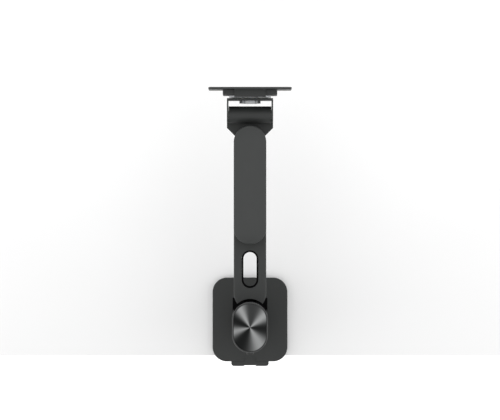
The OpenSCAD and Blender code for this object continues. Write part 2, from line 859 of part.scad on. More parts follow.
module upper_arm() {
    section = [[0, 0], [arm_r - 1.5, 0], [arm_r, 1.5], [arm_r, frame_h], [0, frame_h]];
    color(graphite) difference() {
        translate([0, elbow_y, upper_z]) shaped_stadium(upper_span, section);
        translate([0, elbow_y, upper_z + boss_floor])
            stadium(arm_r - frame_wall, upper_span, frame_h);
        translate([-channel_w / 2, channel_y, upper_z - cut])
            cube([channel_w, channel_l, channel_d + cut]);
        for (y = [elbow_y, head_y]) translate([0, y, upper_z - cut])
            cylinder(r = pivot_bush_r + seat, h = boss_floor + 2 * cut);
    }
}

// A shell whose top rises in a shallow crown from its rounded edge to its middle line
module upper_cover() {
    flat = arm_r - cover_edge;
    outer = concat([[0, 0], [arm_r, 0]], round_edge(arm_r, cover_h - cover_crown, cover_edge),
        [for (share = [0.8 : -0.2 : 0]) [flat * share, cover_h - cover_crown * pow(share, 2)]]);
    color(graphite) translate([0, elbow_y, cover_z]) difference() {
        shaped_stadium(upper_span, outer);
        translate([0, 0, -cut])
            shaped_stadium(upper_span,
                bevelled(arm_r - cover_wall, cover_h - cover_wall - cover_edge + cut, 0, cover_edge));
    }
}

// Snap-in strip under the cable channel, open at both ends
module cable_cover() {
    color(black) translate([-channel_w / 2 + 2 * seat, channel_y + strip_inset, upper_z])
        cube([channel_w - 4 * seat, channel_l - 2 * strip_inset, strip_cover_t]);
}

// ---- Monitor head ----

module head_bracket() {
    half = head_w / 2;
    plate_z0 = arm_top - head_t;
    side = barrel_y - 1;
    color(graphite) difference() {
        union() {
            translate([0, head_y, hub_wall_bottom]) cylinder(r = hub_r, h = arm_top - hub_wall_bottom);
            translate([0, 0, plate_z0]) linear_extrude(head_t) polygon(both_sides([
                [0, head_y - corner_cut], [half - corner_cut, head_y + corner_forward - corner_cut],
                [half, head_y + corner_forward], [half, side], [0, side]]));
            translate([-barrel_half, barrel_y - barrel_r + 2, plate_z0])
                cube([2 * barrel_half, 2 * barrel_r - 6, barrel_z - plate_z0 - 2]);
            translate([-barrel_half, barrel_y, barrel_z]) rotate([0, 90, 0])
                cylinder(r = barrel_r, h = 2 * barrel_half);
        }
        pivot_well(head_y);
        translate([0, barrel_y, barrel_z]) rotate([0, 90, 0]) {
            cylinder(d = tilt_shaft_d + 1, h = 3 * barrel_half, center = true);
            for (s = [-1, 1]) translate([0, 0, s * (barrel_half - tilt_bush_l / 2 + cut / 2)])
                cylinder(d = tilt_shaft_d + 2 * (tilt_bush_wall + seat), h = tilt_bush_l + cut, center = true);
        }
        translate([0, barrel_y, plate_z0 - cut]) cylinder(d = tension_d + 2 * seat, h = barrel_z - plate_z0);
    }
}

module tilt_bushes() {
    color(acetal) for (s = [-1, 1]) translate([s * (barrel_half - tilt_bush_l / 2), barrel_y, barrel_z])
        rotate([0, 90, 0]) translate([0, 0, -tilt_bush_l / 2])
            ring(tilt_shaft_d / 2 + tilt_bush_wall, tilt_shaft_d / 2 + run, tilt_bush_l);
}

// Set screw that presses on the tilt shaft from below
module tension_screw() {
    top = barrel_z - tilt_shaft_d / 2 - gap;
    bottom = arm_top - head_t + 1;
    color(steel) translate([0, barrel_y, bottom]) difference() {
        cylinder(d = tension_d, h = top - bottom);
        translate([0, 0, -cut]) cylinder(d = 3, h = cut + 4, $fn = 6);
    }
}

module tilt_bracket() {
    color(graphite) translate([0, barrel_y, barrel_z]) difference() {
        union() {
            translate([0, bracket_back - barrel_y, 0])
                upright_plate(head_w, 2 * bracket_half, bracket_t, 8, 0.4);
            for (s = [-1, 1]) translate([s * (head_w / 2 - ear_t / 2), 0, 0]) rotate([0, 90, 0]) {
                cylinder(r = ear_r, h = ear_t, center = true);
                translate([-ear_r, 0, -ear_t / 2]) cube([2 * ear_r, bracket_back - barrel_y + 1, ear_t]);
            }
        }
        rotate([0, 90, 0]) cylinder(d = tilt_shaft_d + 2 * seat, h = 2 * head_w, center = true);
        rotate([-90, 0, 0]) cylinder(d = turn_shaft_d + 2 * run, h = 3 * bracket_half);
        // Half-circle slot that the turning hub's stud runs in
        translate([0, bracket_back - barrel_y - cut, 0]) rotate([-90, 0, 0]) intersection() {
            ring(turn_stop_r + turn_stop_d / 2 + gap, turn_stop_r - turn_stop_d / 2 - gap, bracket_t + 2 * cut);
            translate([-head_w, -head_w, 0]) cube([2 * head_w, head_w, bracket_t + 2 * cut]);
        }
        for (s = [-1, 1]) translate([s * turn_stop_r, bracket_back - barrel_y - cut, 0]) rotate([-90, 0, 0])
            cylinder(d = turn_stop_d + 2 * gap, h = bracket_t + 2 * cut);
    }
}

module tilt_shaft() {
    color(steel) translate([-head_w / 2, barrel_y, barrel_z]) rotate([0, 90, 0])
        cylinder(d = tilt_shaft_d, h = head_w);
}

// ---- Turning plate and quick release, about the Y axis through the barrel's middle ----

module turn_frame(y) {
    translate([0, y, barrel_z]) rotate([-90, 0, 0]) children();
}

module hub_screw_places() {
    for (a = [45 : 90 : 315]) translate([0, plate_y, barrel_z]) rotate([0, a, 0])
        translate([hub_screw_r, 0, 0]) rotate([-90, 0, 0]) children();
}

module turn_hub() {
    shaft_back = bracket_back - turn_nut_t - 0.5;
    color(steel) difference() {
        union() {
            turn_frame(shaft_back) cylinder(d = turn_shaft_d, h = flange_y - shaft_back + 1);
            turn_frame(flange_y) cylinder(r = turn_flange_r, h = turn_flange_t);
            translate([0, bracket_back + 0.5, barrel_z + turn_stop_r]) rotate([-90, 0, 0])
                cylinder(d = turn_stop_d, h = flange_y - bracket_back);
        }
        turn_frame(shaft_back - cut) cylinder(d = 8, h = 40);
        hub_screw_places() translate([0, 0, -20]) cylinder(d = hub_screw_d + 2 * seat, h = 30);
    }
}

module turn_washer() {
    color(acetal) turn_frame(bracket_back + bracket_t)
        ring(turn_stop_r - turn_stop_d / 2 - 1, turn_shaft_d / 2 + seat, turn_washer_t);
}

// Slotted ring nut on the hub's shaft, behind the tilt bracket
module turn_nut() {
    color(steel) turn_frame(bracket_back - turn_nut_t - gap / 2) difference() {
        cylinder(r = turn_shaft_d / 2 + 5, h = turn_nut_t);
        translate([0, 0, -cut]) cylinder(d = turn_shaft_d + 2 * seat, h = turn_nut_t + 2 * cut);
        for (a = [0 : 60 : 300]) rotate([0, 0, a]) translate([turn_shaft_d / 2 + 5, 0, 0])
            cube([4, 3, 3 * turn_nut_t], center = true);
    }
}

module receiver() {
    pocket_h = receiver_half + slider_top + press_travel + 1;
    color(graphite) translate([0, receiver_y, barrel_z]) difference() {
        upright_plate(receiver_w, 2 * receiver_half, receiver_t, 6, 0.8);
        translate([0, -cut, 0]) rotate([-90, 0, 0]) cylinder(d = 8, h = receiver_t + 2 * cut);
        translate([0, -receiver_y, -barrel_z]) hub_screw_places()
            flat_screw_hole(hub_screw_d, receiver_t + 2, 7.6, 2.4);
        // Track of the release slider, open below
        translate([-slider_w / 2 - gap, slider_y - receiver_y - gap, -receiver_half - cut])
            cube([slider_w + 2 * gap, slider_t + 2 * gap, pocket_h + cut]);
    }
}

module hub_screws() {
    color(steel) hub_screw_places() flat_screw(hub_screw_d, receiver_t + 2, 7.6, 2.4);
}

module vesa_holes(pitch) {
    for (x = [-1, 1], z = [-1, 1]) translate([x * pitch / 2, -cut, z * pitch / 2]) rotate([-90, 0, 0])
        cylinder(d = monitor_hole_d, h = monitor_plate_t + 2 * cut);
}

// Comes off with the monitor: hooks over the receiver's top and is caught behind the slider's tips
module monitor_plate() {
    catch_back = slider_y - gap - catch_t;
    catch_z = -receiver_half - tip_drop;
    color(graphite) translate([0, plate_y, barrel_z]) {
        difference() {
            upright_plate(monitor_side, monitor_side, monitor_plate_t, 9, 0.5);
            vesa_holes(vesa_large);
            vesa_holes(vesa_small);
            translate([0, -cut, 0]) rotate([-90, 0, 0]) cylinder(d = plate_hole_d, h = monitor_plate_t + 2 * cut);
        }
        // Hook over the receiver's top edge
        translate([-hook_w / 2, -receiver_t - hook_lip, receiver_half + gap])
            cube([hook_w, receiver_t + hook_lip + hook_t / 2, hook_t]);
        translate([-hook_w / 2, -receiver_t - hook_lip, receiver_half - hook_grip])
            cube([hook_w, hook_lip - gap, hook_grip + gap + hook_t]);
        // Catches behind the slider's tips
        for (s = [-1, 1]) translate([s * (slider_w / 2 + gap + 2), 0, 0]) {
            translate([-2, catch_back - plate_y, catch_z])
                cube([4, plate_y - catch_back + 0.5, tip_drop - 0.5]);
            translate([s > 0 ? -tip_w - gap - 2 : -2, catch_back - plate_y, catch_z])
                cube([tip_w + gap + 4, catch_t, tip_drop - 0.5]);
        }
    }
}

module release_button() {
    half = slider_w / 2;
    color(black) translate([0, slider_y, barrel_z]) {
        translate([-half, 0, -receiver_half + 2]) cube([slider_w, slider_t, receiver_half + slider_top - 2]);
        for (s = [-1, 1]) translate([s > 0 ? half - tip_w : -half, 0, -receiver_half - tip_drop])
            cube([tip_w, slider_t, tip_drop + 3]);
        translate([-stem_w / 2, 0, -receiver_half - 2 * tip_drop - 1])
            cube([stem_w, slider_t, 2 * tip_drop + 4]);
        translate([-thumb_w / 2, -tip_drop, -receiver_half - 2 * thumb_h]) cube([thumb_w, thumb_t, thumb_h]);
    }
}

base_plate();
base_pad();
pivot_post();
post_screws();
thrust_washer();
stop_washer();
swivel_bolt();
clamp_spine();
clamp_jaw();
clamp_bolts();
screw_nut();
pressure_plate();
pressure_pad();
clamp_screw();
clamp_knob();
column_tube();
front_panel();
column_foot();
swivel_bush();
column_screws();
guide_rods();
top_block();
column_cap();
cap_disc();
drum_axle();
spring_strip();
spring_drum();
spring_coil();
carriage();
carriage_bushes();
lower_arm();
arm_screws();
cable_rim();
arm_cheeks();
elbow_pin();
elbow_washer();
elbow_springs();
elbow_nut();
elbow_cap();
upper_arm();
upper_cover();
elbow_bush();
head_bush();
cable_cover();
head_bracket();
head_pin();
head_washer();
head_springs();
head_nut();
head_cap();
tilt_bushes();
tension_screw();
tilt_bracket();
tilt_shaft();
turn_hub();
turn_washer();
turn_nut();
receiver();
hub_screws();
monitor_plate();
release_button();
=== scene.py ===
"""A clamp-on monitor arm: its finished pieces, their materials, and a plain desk to stand on."""

import json
import math

import bmesh
import bpy
from bpy.props import FloatProperty, FloatVectorProperty, IntProperty, PointerProperty
from mathutils import Matrix, Vector


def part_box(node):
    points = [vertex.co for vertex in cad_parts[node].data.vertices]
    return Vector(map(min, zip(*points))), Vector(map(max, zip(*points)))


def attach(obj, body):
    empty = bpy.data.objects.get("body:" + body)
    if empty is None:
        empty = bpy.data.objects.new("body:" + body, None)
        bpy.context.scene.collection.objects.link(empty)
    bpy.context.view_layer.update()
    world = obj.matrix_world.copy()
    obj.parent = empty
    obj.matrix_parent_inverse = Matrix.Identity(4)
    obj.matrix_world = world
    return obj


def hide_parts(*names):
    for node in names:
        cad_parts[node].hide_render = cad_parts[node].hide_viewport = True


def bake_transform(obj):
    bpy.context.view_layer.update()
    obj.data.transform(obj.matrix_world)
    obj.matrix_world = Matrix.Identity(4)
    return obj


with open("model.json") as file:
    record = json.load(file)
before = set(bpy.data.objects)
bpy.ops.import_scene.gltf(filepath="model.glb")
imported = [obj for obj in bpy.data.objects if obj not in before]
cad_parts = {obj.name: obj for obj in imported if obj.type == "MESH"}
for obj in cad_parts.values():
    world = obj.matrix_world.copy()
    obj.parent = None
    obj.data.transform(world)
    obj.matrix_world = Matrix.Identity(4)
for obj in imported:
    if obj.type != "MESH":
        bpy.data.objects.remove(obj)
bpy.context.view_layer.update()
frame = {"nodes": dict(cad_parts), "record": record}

bl_info = {
    "name": "Monitor arm",
    "version": (1, 0, 0),
    "blender": (4, 5, 0),
    "location": "View3D > Sidebar > Monitor arm",
    "description": "Builds the finished pieces of a clamp-on monitor arm around its frame",
    "category": "Object",
}

MM = 0.001
NUT_WALL = 6.5 * MM  # from the nut's outside to the thread of the clamp screw
SPINE_REACH = 14.6 * MM  # from the back of the clamp to the rear edge of the desk
FULL_TURN = 2 * math.pi
STADIUM_SEGMENTS = 96
SHARP_ANGLE = 32  # degrees between faces, over which an edge is rounded and shaded as an edge
NODES = frame["nodes"]
BODY_OF = {node: body for body, nodes in frame["record"]["behaviour"]["bodies"].items() for node in nodes}
SLOT_OF = {part["node"]: part["material_slot"] for part in frame["record"]["subparts"]}


def node_size(node):
    """Width, depth and height of a frame node."""
    low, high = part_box(node)
    return high - low


def node_middle(node):
    """Middle of a frame node's box."""
    low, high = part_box(node)
    return (low + high) / 2


# ---------------------------------------------------------------- sizes and colours

class FinishSettings(bpy.types.PropertyGroup):
    """Colours of the arm's finishes."""

    # graphite and arms are one graphite powder coat in two brightnesses: the arms' copy is painted lighter to
    # offset the shade they lie in, and the darker copy is painted shade for base, clamp and head.
    graphite: FloatVectorProperty(
        name="Graphite coat", description="Colour of the powder coat on base, clamp and head",
        subtype="COLOR", size=3, min=0, max=1, default=(0.0225, 0.0243, 0.0236))
    arms: FloatVectorProperty(
        name="Arm coat", description="Colour of the powder coat on the column and both arms",
        subtype="COLOR", size=3, min=0, max=1, default=(0.0270, 0.0290, 0.0282))
    cover: FloatVectorProperty(
        name="Cover", description="Colour of the upper arm's moulded cover",
        subtype="COLOR", size=3, min=0, max=1, default=(0.0275, 0.0298, 0.0290))
    black: FloatVectorProperty(
        name="Black", description="Colour of the moulded black pieces",
        subtype="COLOR", size=3, min=0, max=1, default=(0.006, 0.006, 0.0065))
    rubber: FloatVectorProperty(
        name="Rubber", description="Colour of the rubber sheet and pad",
        subtype="COLOR", size=3, min=0, max=1, default=(0.012, 0.012, 0.012))
    # The spun face's bright colour is painted highlight; its dark colour is the metal between the highlights.
    spun_highlight: FloatVectorProperty(
        name="Spun face, painted highlight", description="Colour of the spun disc's painted highlight wedges",
        subtype="COLOR", size=3, min=0, max=1, default=(0.26, 0.265, 0.265))
    spun_dark: FloatVectorProperty(
        name="Spun face, dark", description="Colour of the spun disc between its painted highlight wedges",
        subtype="COLOR", size=3, min=0, max=1, default=(0.010, 0.0105, 0.0105))
    grain: FloatProperty(
        name="Coat grain", description="Size of the powder coat's grain",
        subtype="DISTANCE", unit="LENGTH", min=0.0001, max=0.003, default=0.0006)


class EdgeSettings(bpy.types.PropertyGroup):
    """Roundness of the edges."""

    arm: FloatProperty(
        name="Arm edge", description="Radius of the edges of the cast and moulded arms",
        subtype="DISTANCE", unit="LENGTH", min=0.0001, max=0.003, default=0.0007)
    sheet: FloatProperty(
        name="Sheet edge", description="Radius of the edges of plates and brackets",
        subtype="DISTANCE", unit="LENGTH", min=0.0001, max=0.001, default=0.0004)
    fastener: FloatProperty(
        name="Fastener edge", description="Radius of the edges of screws, nuts and pins",
        subtype="DISTANCE", unit="LENGTH", min=0.00005, max=0.0006, default=0.0002)


class DetailSettings(bpy.types.PropertyGroup):
    """Sizes of the finished pieces that the frame doesn't give."""

    cover_edge: FloatProperty(
        name="Cover edge", description="Radius of the upper arm cover's top edge",
        subtype="DISTANCE", unit="LENGTH", min=0.0005, max=0.005, default=0.0015)
    cover_crown: FloatProperty(
        name="Cover crown", description="How much the cover's top rises towards its middle line",
        subtype="DISTANCE", unit="LENGTH", min=0, max=0.004, default=0.0030)
    disc_dish: FloatProperty(
        name="Disc dish", description="How far the spun disc sinks towards its middle",
        subtype="DISTANCE", unit="LENGTH", min=0, max=0.001, default=0.0004)
    thread_pitch: FloatProperty(
        name="Thread pitch", description="Pitch of the clamp screw's thread",
        subtype="DISTANCE", unit="LENGTH", min=0.001, max=0.004, default=0.003)
    thread_depth: FloatProperty(
        name="Thread depth", description="Depth of the clamp screw's thread",
        subtype="DISTANCE", unit="LENGTH", min=0.0005, max=0.002, default=0.0013)
    knob_lobes: IntProperty(
        name="Knob lobes", description="Number of finger lobes round the clamp's knob",
        min=3, max=12, default=6)


class StageSettings(bpy.types.PropertyGroup):
    """The desk, the lights and the camera."""

    desk_width: FloatProperty(
        name="Desk width", description="Width of the desk top",
        subtype="DISTANCE", unit="LENGTH", min=0.8, max=3, default=1.8)
    desk_depth: FloatProperty(
        name="Desk depth", description="Depth of the desk top",
        subtype="DISTANCE", unit="LENGTH", min=0.5, max=2, default=0.85)
    desk_height: FloatProperty(
        name="Desk height", description="Height of the desk top above the floor",
        subtype="DISTANCE", unit="LENGTH", min=0.4, max=1.2, default=0.74)
    camera_height: FloatProperty(
        name="Camera height", description="Height of the camera above the desk",
        subtype="DISTANCE", unit="LENGTH", min=2, max=12, default=8.4)
    camera_forward: FloatProperty(
        name="Camera forward", description="How far the camera stands in front of the column",
        subtype="DISTANCE", unit="LENGTH", min=0, max=0.5, default=0.160)
    camera_lens: FloatProperty(
        name="Lens", description="Focal length of the camera, in millimetres",
        min=50, max=600, default=422)


SETTINGS = {
    "finish": FinishSettings, "edges": EdgeSettings, "detail": DetailSettings, "stage": StageSettings,
}


def settings(group):
    """One of this script's groups of settings, from the scene."""
    return getattr(bpy.context.scene, "arm_" + group)


# ---------------------------------------------------------------- shader expressions

class Signal:
    """An output socket of a material, which takes arithmetic with numbers and other signals."""

    def __init__(self, paint, socket):
        self.paint = paint
        self.socket = socket

    def math(self, operation, first, second=None):
        values = [first] if second is None else [first, second]
        return self.paint.node("ShaderNodeMath", {"operation": operation}, dict(enumerate(values)))

    def __add__(self, other):
        return self.math("ADD", self, other)

    def __radd__(self, other):
        return self.math("ADD", other, self)

    def __sub__(self, other):
        return self.math("SUBTRACT", self, other)

    def __rsub__(self, other):
        return self.math("SUBTRACT", other, self)

    def __mul__(self, other):
        return self.math("MULTIPLY", self, other)

    def __rmul__(self, other):
        return self.math("MULTIPLY", other, self)

    def __truediv__(self, other):
        return self.math("DIVIDE", self, other)

    def __rtruediv__(self, other):
        return self.math("DIVIDE", other, self)

    def __pow__(self, other):
        return self.math("POWER", self, other)

    def sine(self):
        return self.math("SINE", self)

    def cosine(self):
        return self.math("COSINE", self)

    def least(self, other):
        return self.math("MINIMUM", self, other)

    def most(self, other):
        return self.math("MAXIMUM", self, other)


class Paint:
    """A new material and its node tree."""

    def __init__(self, name):
        self.material = bpy.data.materials.new(name)
        self.material.use_nodes = True
        self.tree = self.material.node_tree
        self.tree.nodes.clear()
        self.places = self.node("ShaderNodeTexCoord", {}, {}, "Object")

    def node(self, kind, options, inputs, output=0):
        """Adds a node, sets its options, then its sockets' values or links, and returns one output."""
        made = self.tree.nodes.new(kind)
        for option, value in options.items():
            if option == "stops":
                self.set_stops(made.color_ramp, value)
            else:
                setattr(made, option, value)
        for key, value in inputs.items():
            if isinstance(value, Signal):
                self.tree.links.new(value.socket, made.inputs[key])
            else:
                made.inputs[key].default_value = value
        return Signal(self, made.outputs[output])

    @staticmethod
    def set_stops(ramp, stops):
        """Gives a colour ramp its (position, grey or colour) stops."""
        while len(ramp.elements) > 1:
            ramp.elements.remove(ramp.elements[-1])
        for index, (position, shade) in enumerate(stops):
            element = ramp.elements[0] if index == 0 else ramp.elements.new(position)
            element.position = position
            element.color = (*shade, 1) if isinstance(shade, tuple) else (shade, shade, shade, 1)

    def moved(self, location=(0, 0, 0), scale=(1, 1, 1)):
        """The object's coordinates, measured from a place and stretched."""
        from_place = self.node(
            "ShaderNodeVectorMath", {"operation": "SUBTRACT"}, {0: self.places, 1: location})
        return self.node("ShaderNodeMapping", {}, {"Vector": from_place, "Scale": scale})

    def noise(self, size, detail=2.0, roughness=0.5, vector=None):
        """Noise from 0 to 1 whose features are about size metres across."""
        inputs = {"Vector": vector or self.places, "Scale": 1 / size, "Detail": detail, "Roughness": roughness}
        return self.node("ShaderNodeTexNoise", {}, inputs, "Fac")

    def cells(self, size):
        """Distance from the middle of the nearest of cells that are size metres across."""
        return self.node("ShaderNodeTexVoronoi", {}, {"Vector": self.places, "Scale": 1 / size}, "Distance")

    def split(self, vector):
        """The three parts of a vector."""
        parts = self.node("ShaderNodeSeparateXYZ", {}, {"Vector": vector})
        return [Signal(self, parts.socket.node.outputs[axis]) for axis in "XYZ"]

    def mix(self, factor, first, second):
        """A colour between two colours."""
        # The node's inputs 6 and 7 and its output 2 are the ones for colours
        inputs = {0: factor, 6: first, 7: second}
        return self.node("ShaderNodeMix", {"data_type": "RGBA", "clamp_factor": True}, inputs, 2)

    def tinted(self, colour, amount, signal):
        """A colour that a signal of 0 to 1 darkens and lightens by a share of itself."""
        darker = tuple(channel * (1 - amount) for channel in colour)
        lighter = tuple(channel * (1 + amount) for channel in colour)
        return self.mix(signal, (*darker, 1), (*lighter, 1))

    def bump(self, height, depth, strength=1.0):
        """A normal from a height signal of 0 to 1 and its depth in metres."""
        return self.node("ShaderNodeBump", {}, {"Height": height, "Distance": depth, "Strength": strength})

    def surface(self, **sockets):
        """The shader, its sockets named with underscores, and the finished material."""
        named = {name.replace("_", " "): value for name, value in sockets.items()}
        shader = self.node("ShaderNodeBsdfPrincipled", {}, named)
        end = self.tree.nodes.new("ShaderNodeOutputMaterial")
        self.tree.links.new(shader.socket, end.inputs["Surface"])
        return self.material


def powder_coat(name, colour, grain, roughness=0.52):
    """Fine, dry powder coat on metal: a close grain, faint mottling and slightly uneven gloss."""
    paint = Paint(name)
    fine = paint.noise(grain, 3.0, 0.6)
    coarse = paint.noise(grain * 5, 2.0)
    mottle = paint.noise(0.03, 3.0)
    height = fine * 0.7 + coarse * 0.3
    return paint.surface(
        Base_Color=paint.tinted(colour, 0.16, mottle * 0.6 + fine * 0.4),
        Roughness=roughness - 0.06 + mottle * 0.08 + fine * 0.05,
        Specular_IOR_Level=0.38,
        Normal=paint.bump(height, 0.00003, 0.35))


def moulded(name, colour, grain, roughness, specular=0.45):
    """Moulded plastic with the fine spark-eroded texture of its tool."""
    paint = Paint(name)
    pits = paint.cells(grain)
    haze = paint.noise(0.02, 2.0)
    return paint.surface(
        Base_Color=paint.tinted(colour, 0.12, haze),
        Roughness=roughness + haze * 0.08 - pits * 0.05,
        Specular_IOR_Level=specular,
        Normal=paint.bump(pits, 0.00002, 0.3))


def rubbery(name, colour):
    """Dull rubber with a soft pebbled skin and a little dust."""
    paint = Paint(name)
    pebbles = paint.cells(0.0012)
    dust = paint.noise(0.012, 4.0, 0.65)
    return paint.surface(
        Base_Color=paint.tinted(colour, 0.35, dust),
        Roughness=0.78 + dust * 0.14,
        Specular_IOR_Level=0.25,
        Normal=paint.bump(pebbles, 0.00008, 0.5))


def turned_metal(name, colour, roughness, axis, middle, pitch=0.0004, metallic=1.0):
    """Turned or ground metal: fine tool marks round an axis, and a breath of tarnish."""
    paint = Paint(name)
    x, y, z = paint.split(paint.moved(middle))
    along, (across, beyond) = {"X": (x, (y, z)), "Y": (y, (x, z)), "Z": (z, (x, y))}[axis]
    radius = (across * across + beyond * beyond) ** 0.5
    marks = ((along + radius) * (FULL_TURN / pitch)).sine() * 0.5 + 0.5
    tarnish = paint.noise(0.006, 4.0, 0.6)
    return paint.surface(
        Base_Color=paint.tinted(colour, 0.14, tarnish * 0.7 + marks * 0.3),
        Roughness=roughness + tarnish * 0.12,
        Metallic=metallic,
        Normal=paint.bump(marks, 0.00001, 0.4))


def plated(name, colour, roughness=0.34):
    """Zinc plate: small cool and warm blooms under a satin surface."""
    paint = Paint(name)
    bloom = paint.noise(0.0025, 3.0, 0.6)
    grit = paint.noise(0.0003, 2.0)
    warm = (colour[0] * 1.06, colour[1], colour[2] * 0.92, 1)
    cool = (colour[0] * 0.92, colour[1] * 0.98, colour[2] * 1.06, 1)
    return paint.surface(
        Base_Color=paint.mix(bloom, warm, cool),
        Roughness=roughness + bloom * 0.16,
        Metallic=1.0,
        Normal=paint.bump(grit, 0.00001, 0.4))


def casting(name, colour):
    """Dark die casting: an uneven skin with small pores."""
    paint = Paint(name)
    skin = paint.noise(0.0018, 5.0, 0.65)
    pores = (paint.cells(0.004) * 6).least(1)
    return paint.surface(
        Base_Color=paint.tinted(colour, 0.2, skin),
        Roughness=0.5 + skin * 0.14,
        Metallic=0.85,
        Normal=paint.bump(skin * 0.7 + pores * 0.3, 0.00006, 0.5))


def acetal(name, colour):
    """Natural acetal: milky, waxy, with faint turning marks."""
    paint = Paint(name)
    cloud = paint.noise(0.005, 3.0)
    z = paint.split(paint.places)[2]
    marks = (z * (FULL_TURN / 0.0005)).sine() * 0.5 + 0.5
    return paint.surface(
        Base_Color=paint.tinted(colour, 0.06, cloud),
        Roughness=0.36 + cloud * 0.1,
        Specular_IOR_Level=0.5,
        Subsurface_Weight=0.08,
        Normal=paint.bump(marks, 0.00001, 0.3))


def spring_steel(name, colour):
    """Spring strip: a little blue and straw heat tint over a rolled grain."""
    paint = Paint(name)
    grain = paint.noise(1.0, 3.0, 0.6, paint.moved(scale=(2500, 300, 300)))
    tint = paint.noise(0.02, 2.0)
    blue = (colour[0] * 0.8, colour[1] * 0.92, colour[2] * 1.2, 1)
    straw = (colour[0] * 1.15, colour[1] * 1.02, colour[2] * 0.8, 1)
    return paint.surface(
        Base_Color=paint.mix(tint, blue, straw),
        Roughness=0.26 + grain * 0.16,
        Metallic=1.0,
        Normal=paint.bump(grain, 0.00001, 0.3))


# The spun face's painted highlight wedges, drawn into its base colour: direction clockwise from forward and
# width, both in degrees, and strength
HIGHLIGHT_WEDGES = [(50, 30, 1.0), (150, 40, 0.95), (256, 26, 0.85), (332, 24, 1.0), (8, 40, 0.1)]


def spun_face(name, bright, dark, middle):
    """Spun aluminium: turned rings, and bright wedges painted into its colour as the highlights that the rings
    gather the light into.
    """
    paint = Paint(name)
    x, y, _ = paint.split(paint.moved(middle))
    radius = (x * x + y * y) ** 0.5
    angle = paint.node("ShaderNodeMath", {"operation": "ARCTAN2"}, {0: x, 1: y})
    fan = paint.node("ShaderNodeCombineXYZ", {}, {"X": angle, "Y": radius * 14})
    streaks = paint.noise(0.35, 4.0, 0.7, fan)
    wedges = 0.0
    # Each wedge paints a highlight into the base colour, fixed to the disc
    for direction, width, strength in HIGHLIGHT_WEDGES:
        half = math.radians(width / 2)
        sharpness = math.log(0.5) / math.log((1 + math.cos(half)) / 2)
        facing = ((angle - math.radians(direction)).cosine() * 0.5 + 0.5).most(0.0001)
        wedges = wedges + (facing ** sharpness) * strength
    painted_glow = (wedges * (0.86 + streaks * 0.28)).least(1.0)
    rings = (radius * (FULL_TURN / 0.00045)).sine() * 0.5 + 0.5
    broad = paint.noise(1.0, 2.0, 0.5, paint.node("ShaderNodeCombineXYZ", {}, {"X": radius * 1400}))
    painted_shine = (painted_glow * (0.93 + rings * 0.07 + broad * 0.06)).least(1.0)
    return paint.surface(
        Base_Color=paint.mix(painted_shine, (*dark, 1), (*bright, 1)),
        Roughness=0.3 + broad * 0.06,
        Metallic=1.0,
        Normal=paint.bump(rings * 0.5 + broad * 0.5, 0.000012, 0.35))


def finishes():
    """The materials, made once: one for each slot, and the others that some pieces take instead."""
    if finishes.made:
        return finishes.made
    look = settings("finish")
    column_middle = node_middle("cap_disc")
    jaw_middle = node_middle("pressure_plate")
    shaft_middle = node_middle("tilt_shaft")
    hub_middle = node_middle("turn_hub")
    finishes.made.update({
        # These two coats are lit and shaded copies of one graphite paint
        "graphite_paint": powder_coat("graphite powder coat, darker shaded copy", look.graphite, look.grain),
        "painted_aluminium": powder_coat("graphite powder coat, lighter lit copy", look.arms, look.grain, 0.5),
        "graphite_plastic": moulded("satin graphite moulding", look.cover, 0.0005, 0.46),
        "black_plastic": moulded("black moulding", look.black, 0.0007, 0.4),
        # Near-black and without reflection: these parts are black, and their finish also stands in for the
        # deep shade at the column's front, in the cable slot and at the arm's heel
        "black_matte": moulded("matte black, painted deep shade", (0.004, 0.004, 0.0042), 0.0007, 0.8, 0.0),
        "black_rubber": rubbery("black rubber", look.rubber),
        "cast_aluminium": casting("dark casting", (0.09, 0.092, 0.095)),
        "acetal": acetal("natural acetal", (0.78, 0.76, 0.7)),
        "bright_steel": turned_metal("ground steel", (0.5, 0.51, 0.52), 0.24, "Z", jaw_middle),
        "shaft_steel": turned_metal("ground shaft steel", (0.42, 0.43, 0.44), 0.26, "X", shaft_middle),
        "hub_steel": turned_metal("turned hub steel", (0.4, 0.41, 0.42), 0.3, "Y", hub_middle),
        "zinc_steel": plated("zinc plate", (0.42, 0.43, 0.44)),
        "black_steel": plated("black oxide", (0.03, 0.03, 0.032), 0.4),
        # The spring strip and coil are near-black
        "spring_steel": spring_steel("near-black spring steel", (0.03, 0.031, 0.034)),
        "brass": turned_metal("turned brass", (0.66, 0.48, 0.2), 0.28, "Z", jaw_middle),
        # The spun disc's bright wedges are painted highlights in its colour
        "spun_aluminium": spun_face("spun aluminium, painted highlights", look.spun_highlight, look.spun_dark, column_middle),
        "rim_aluminium": turned_metal(
            "satin rim", (0.035, 0.036, 0.036), 0.42, "Z", column_middle, 0.0006, 0.2),
    })
    return finishes.made


finishes.made = {}


# ---------------------------------------------------------------- modelling

def place(shape, name, node, finish=None, sharp=SHARP_ANGLE, rides=True):
    """Turns a bmesh into the finished piece of a frame node, which rides with the node's body."""
    mesh = bpy.data.meshes.new(name)
    shape.to_mesh(mesh)
    shape.free()
    mesh.shade_smooth()
    mesh.set_sharp_from_angle(angle=math.radians(sharp))
    mesh.materials.append(finishes()[finish or SLOT_OF[node]])
    piece = bpy.data.objects.new(name, mesh)
    bpy.context.scene.collection.objects.link(piece)
    if rides:
        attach(piece, BODY_OF[node])
    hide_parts(node)
    return piece


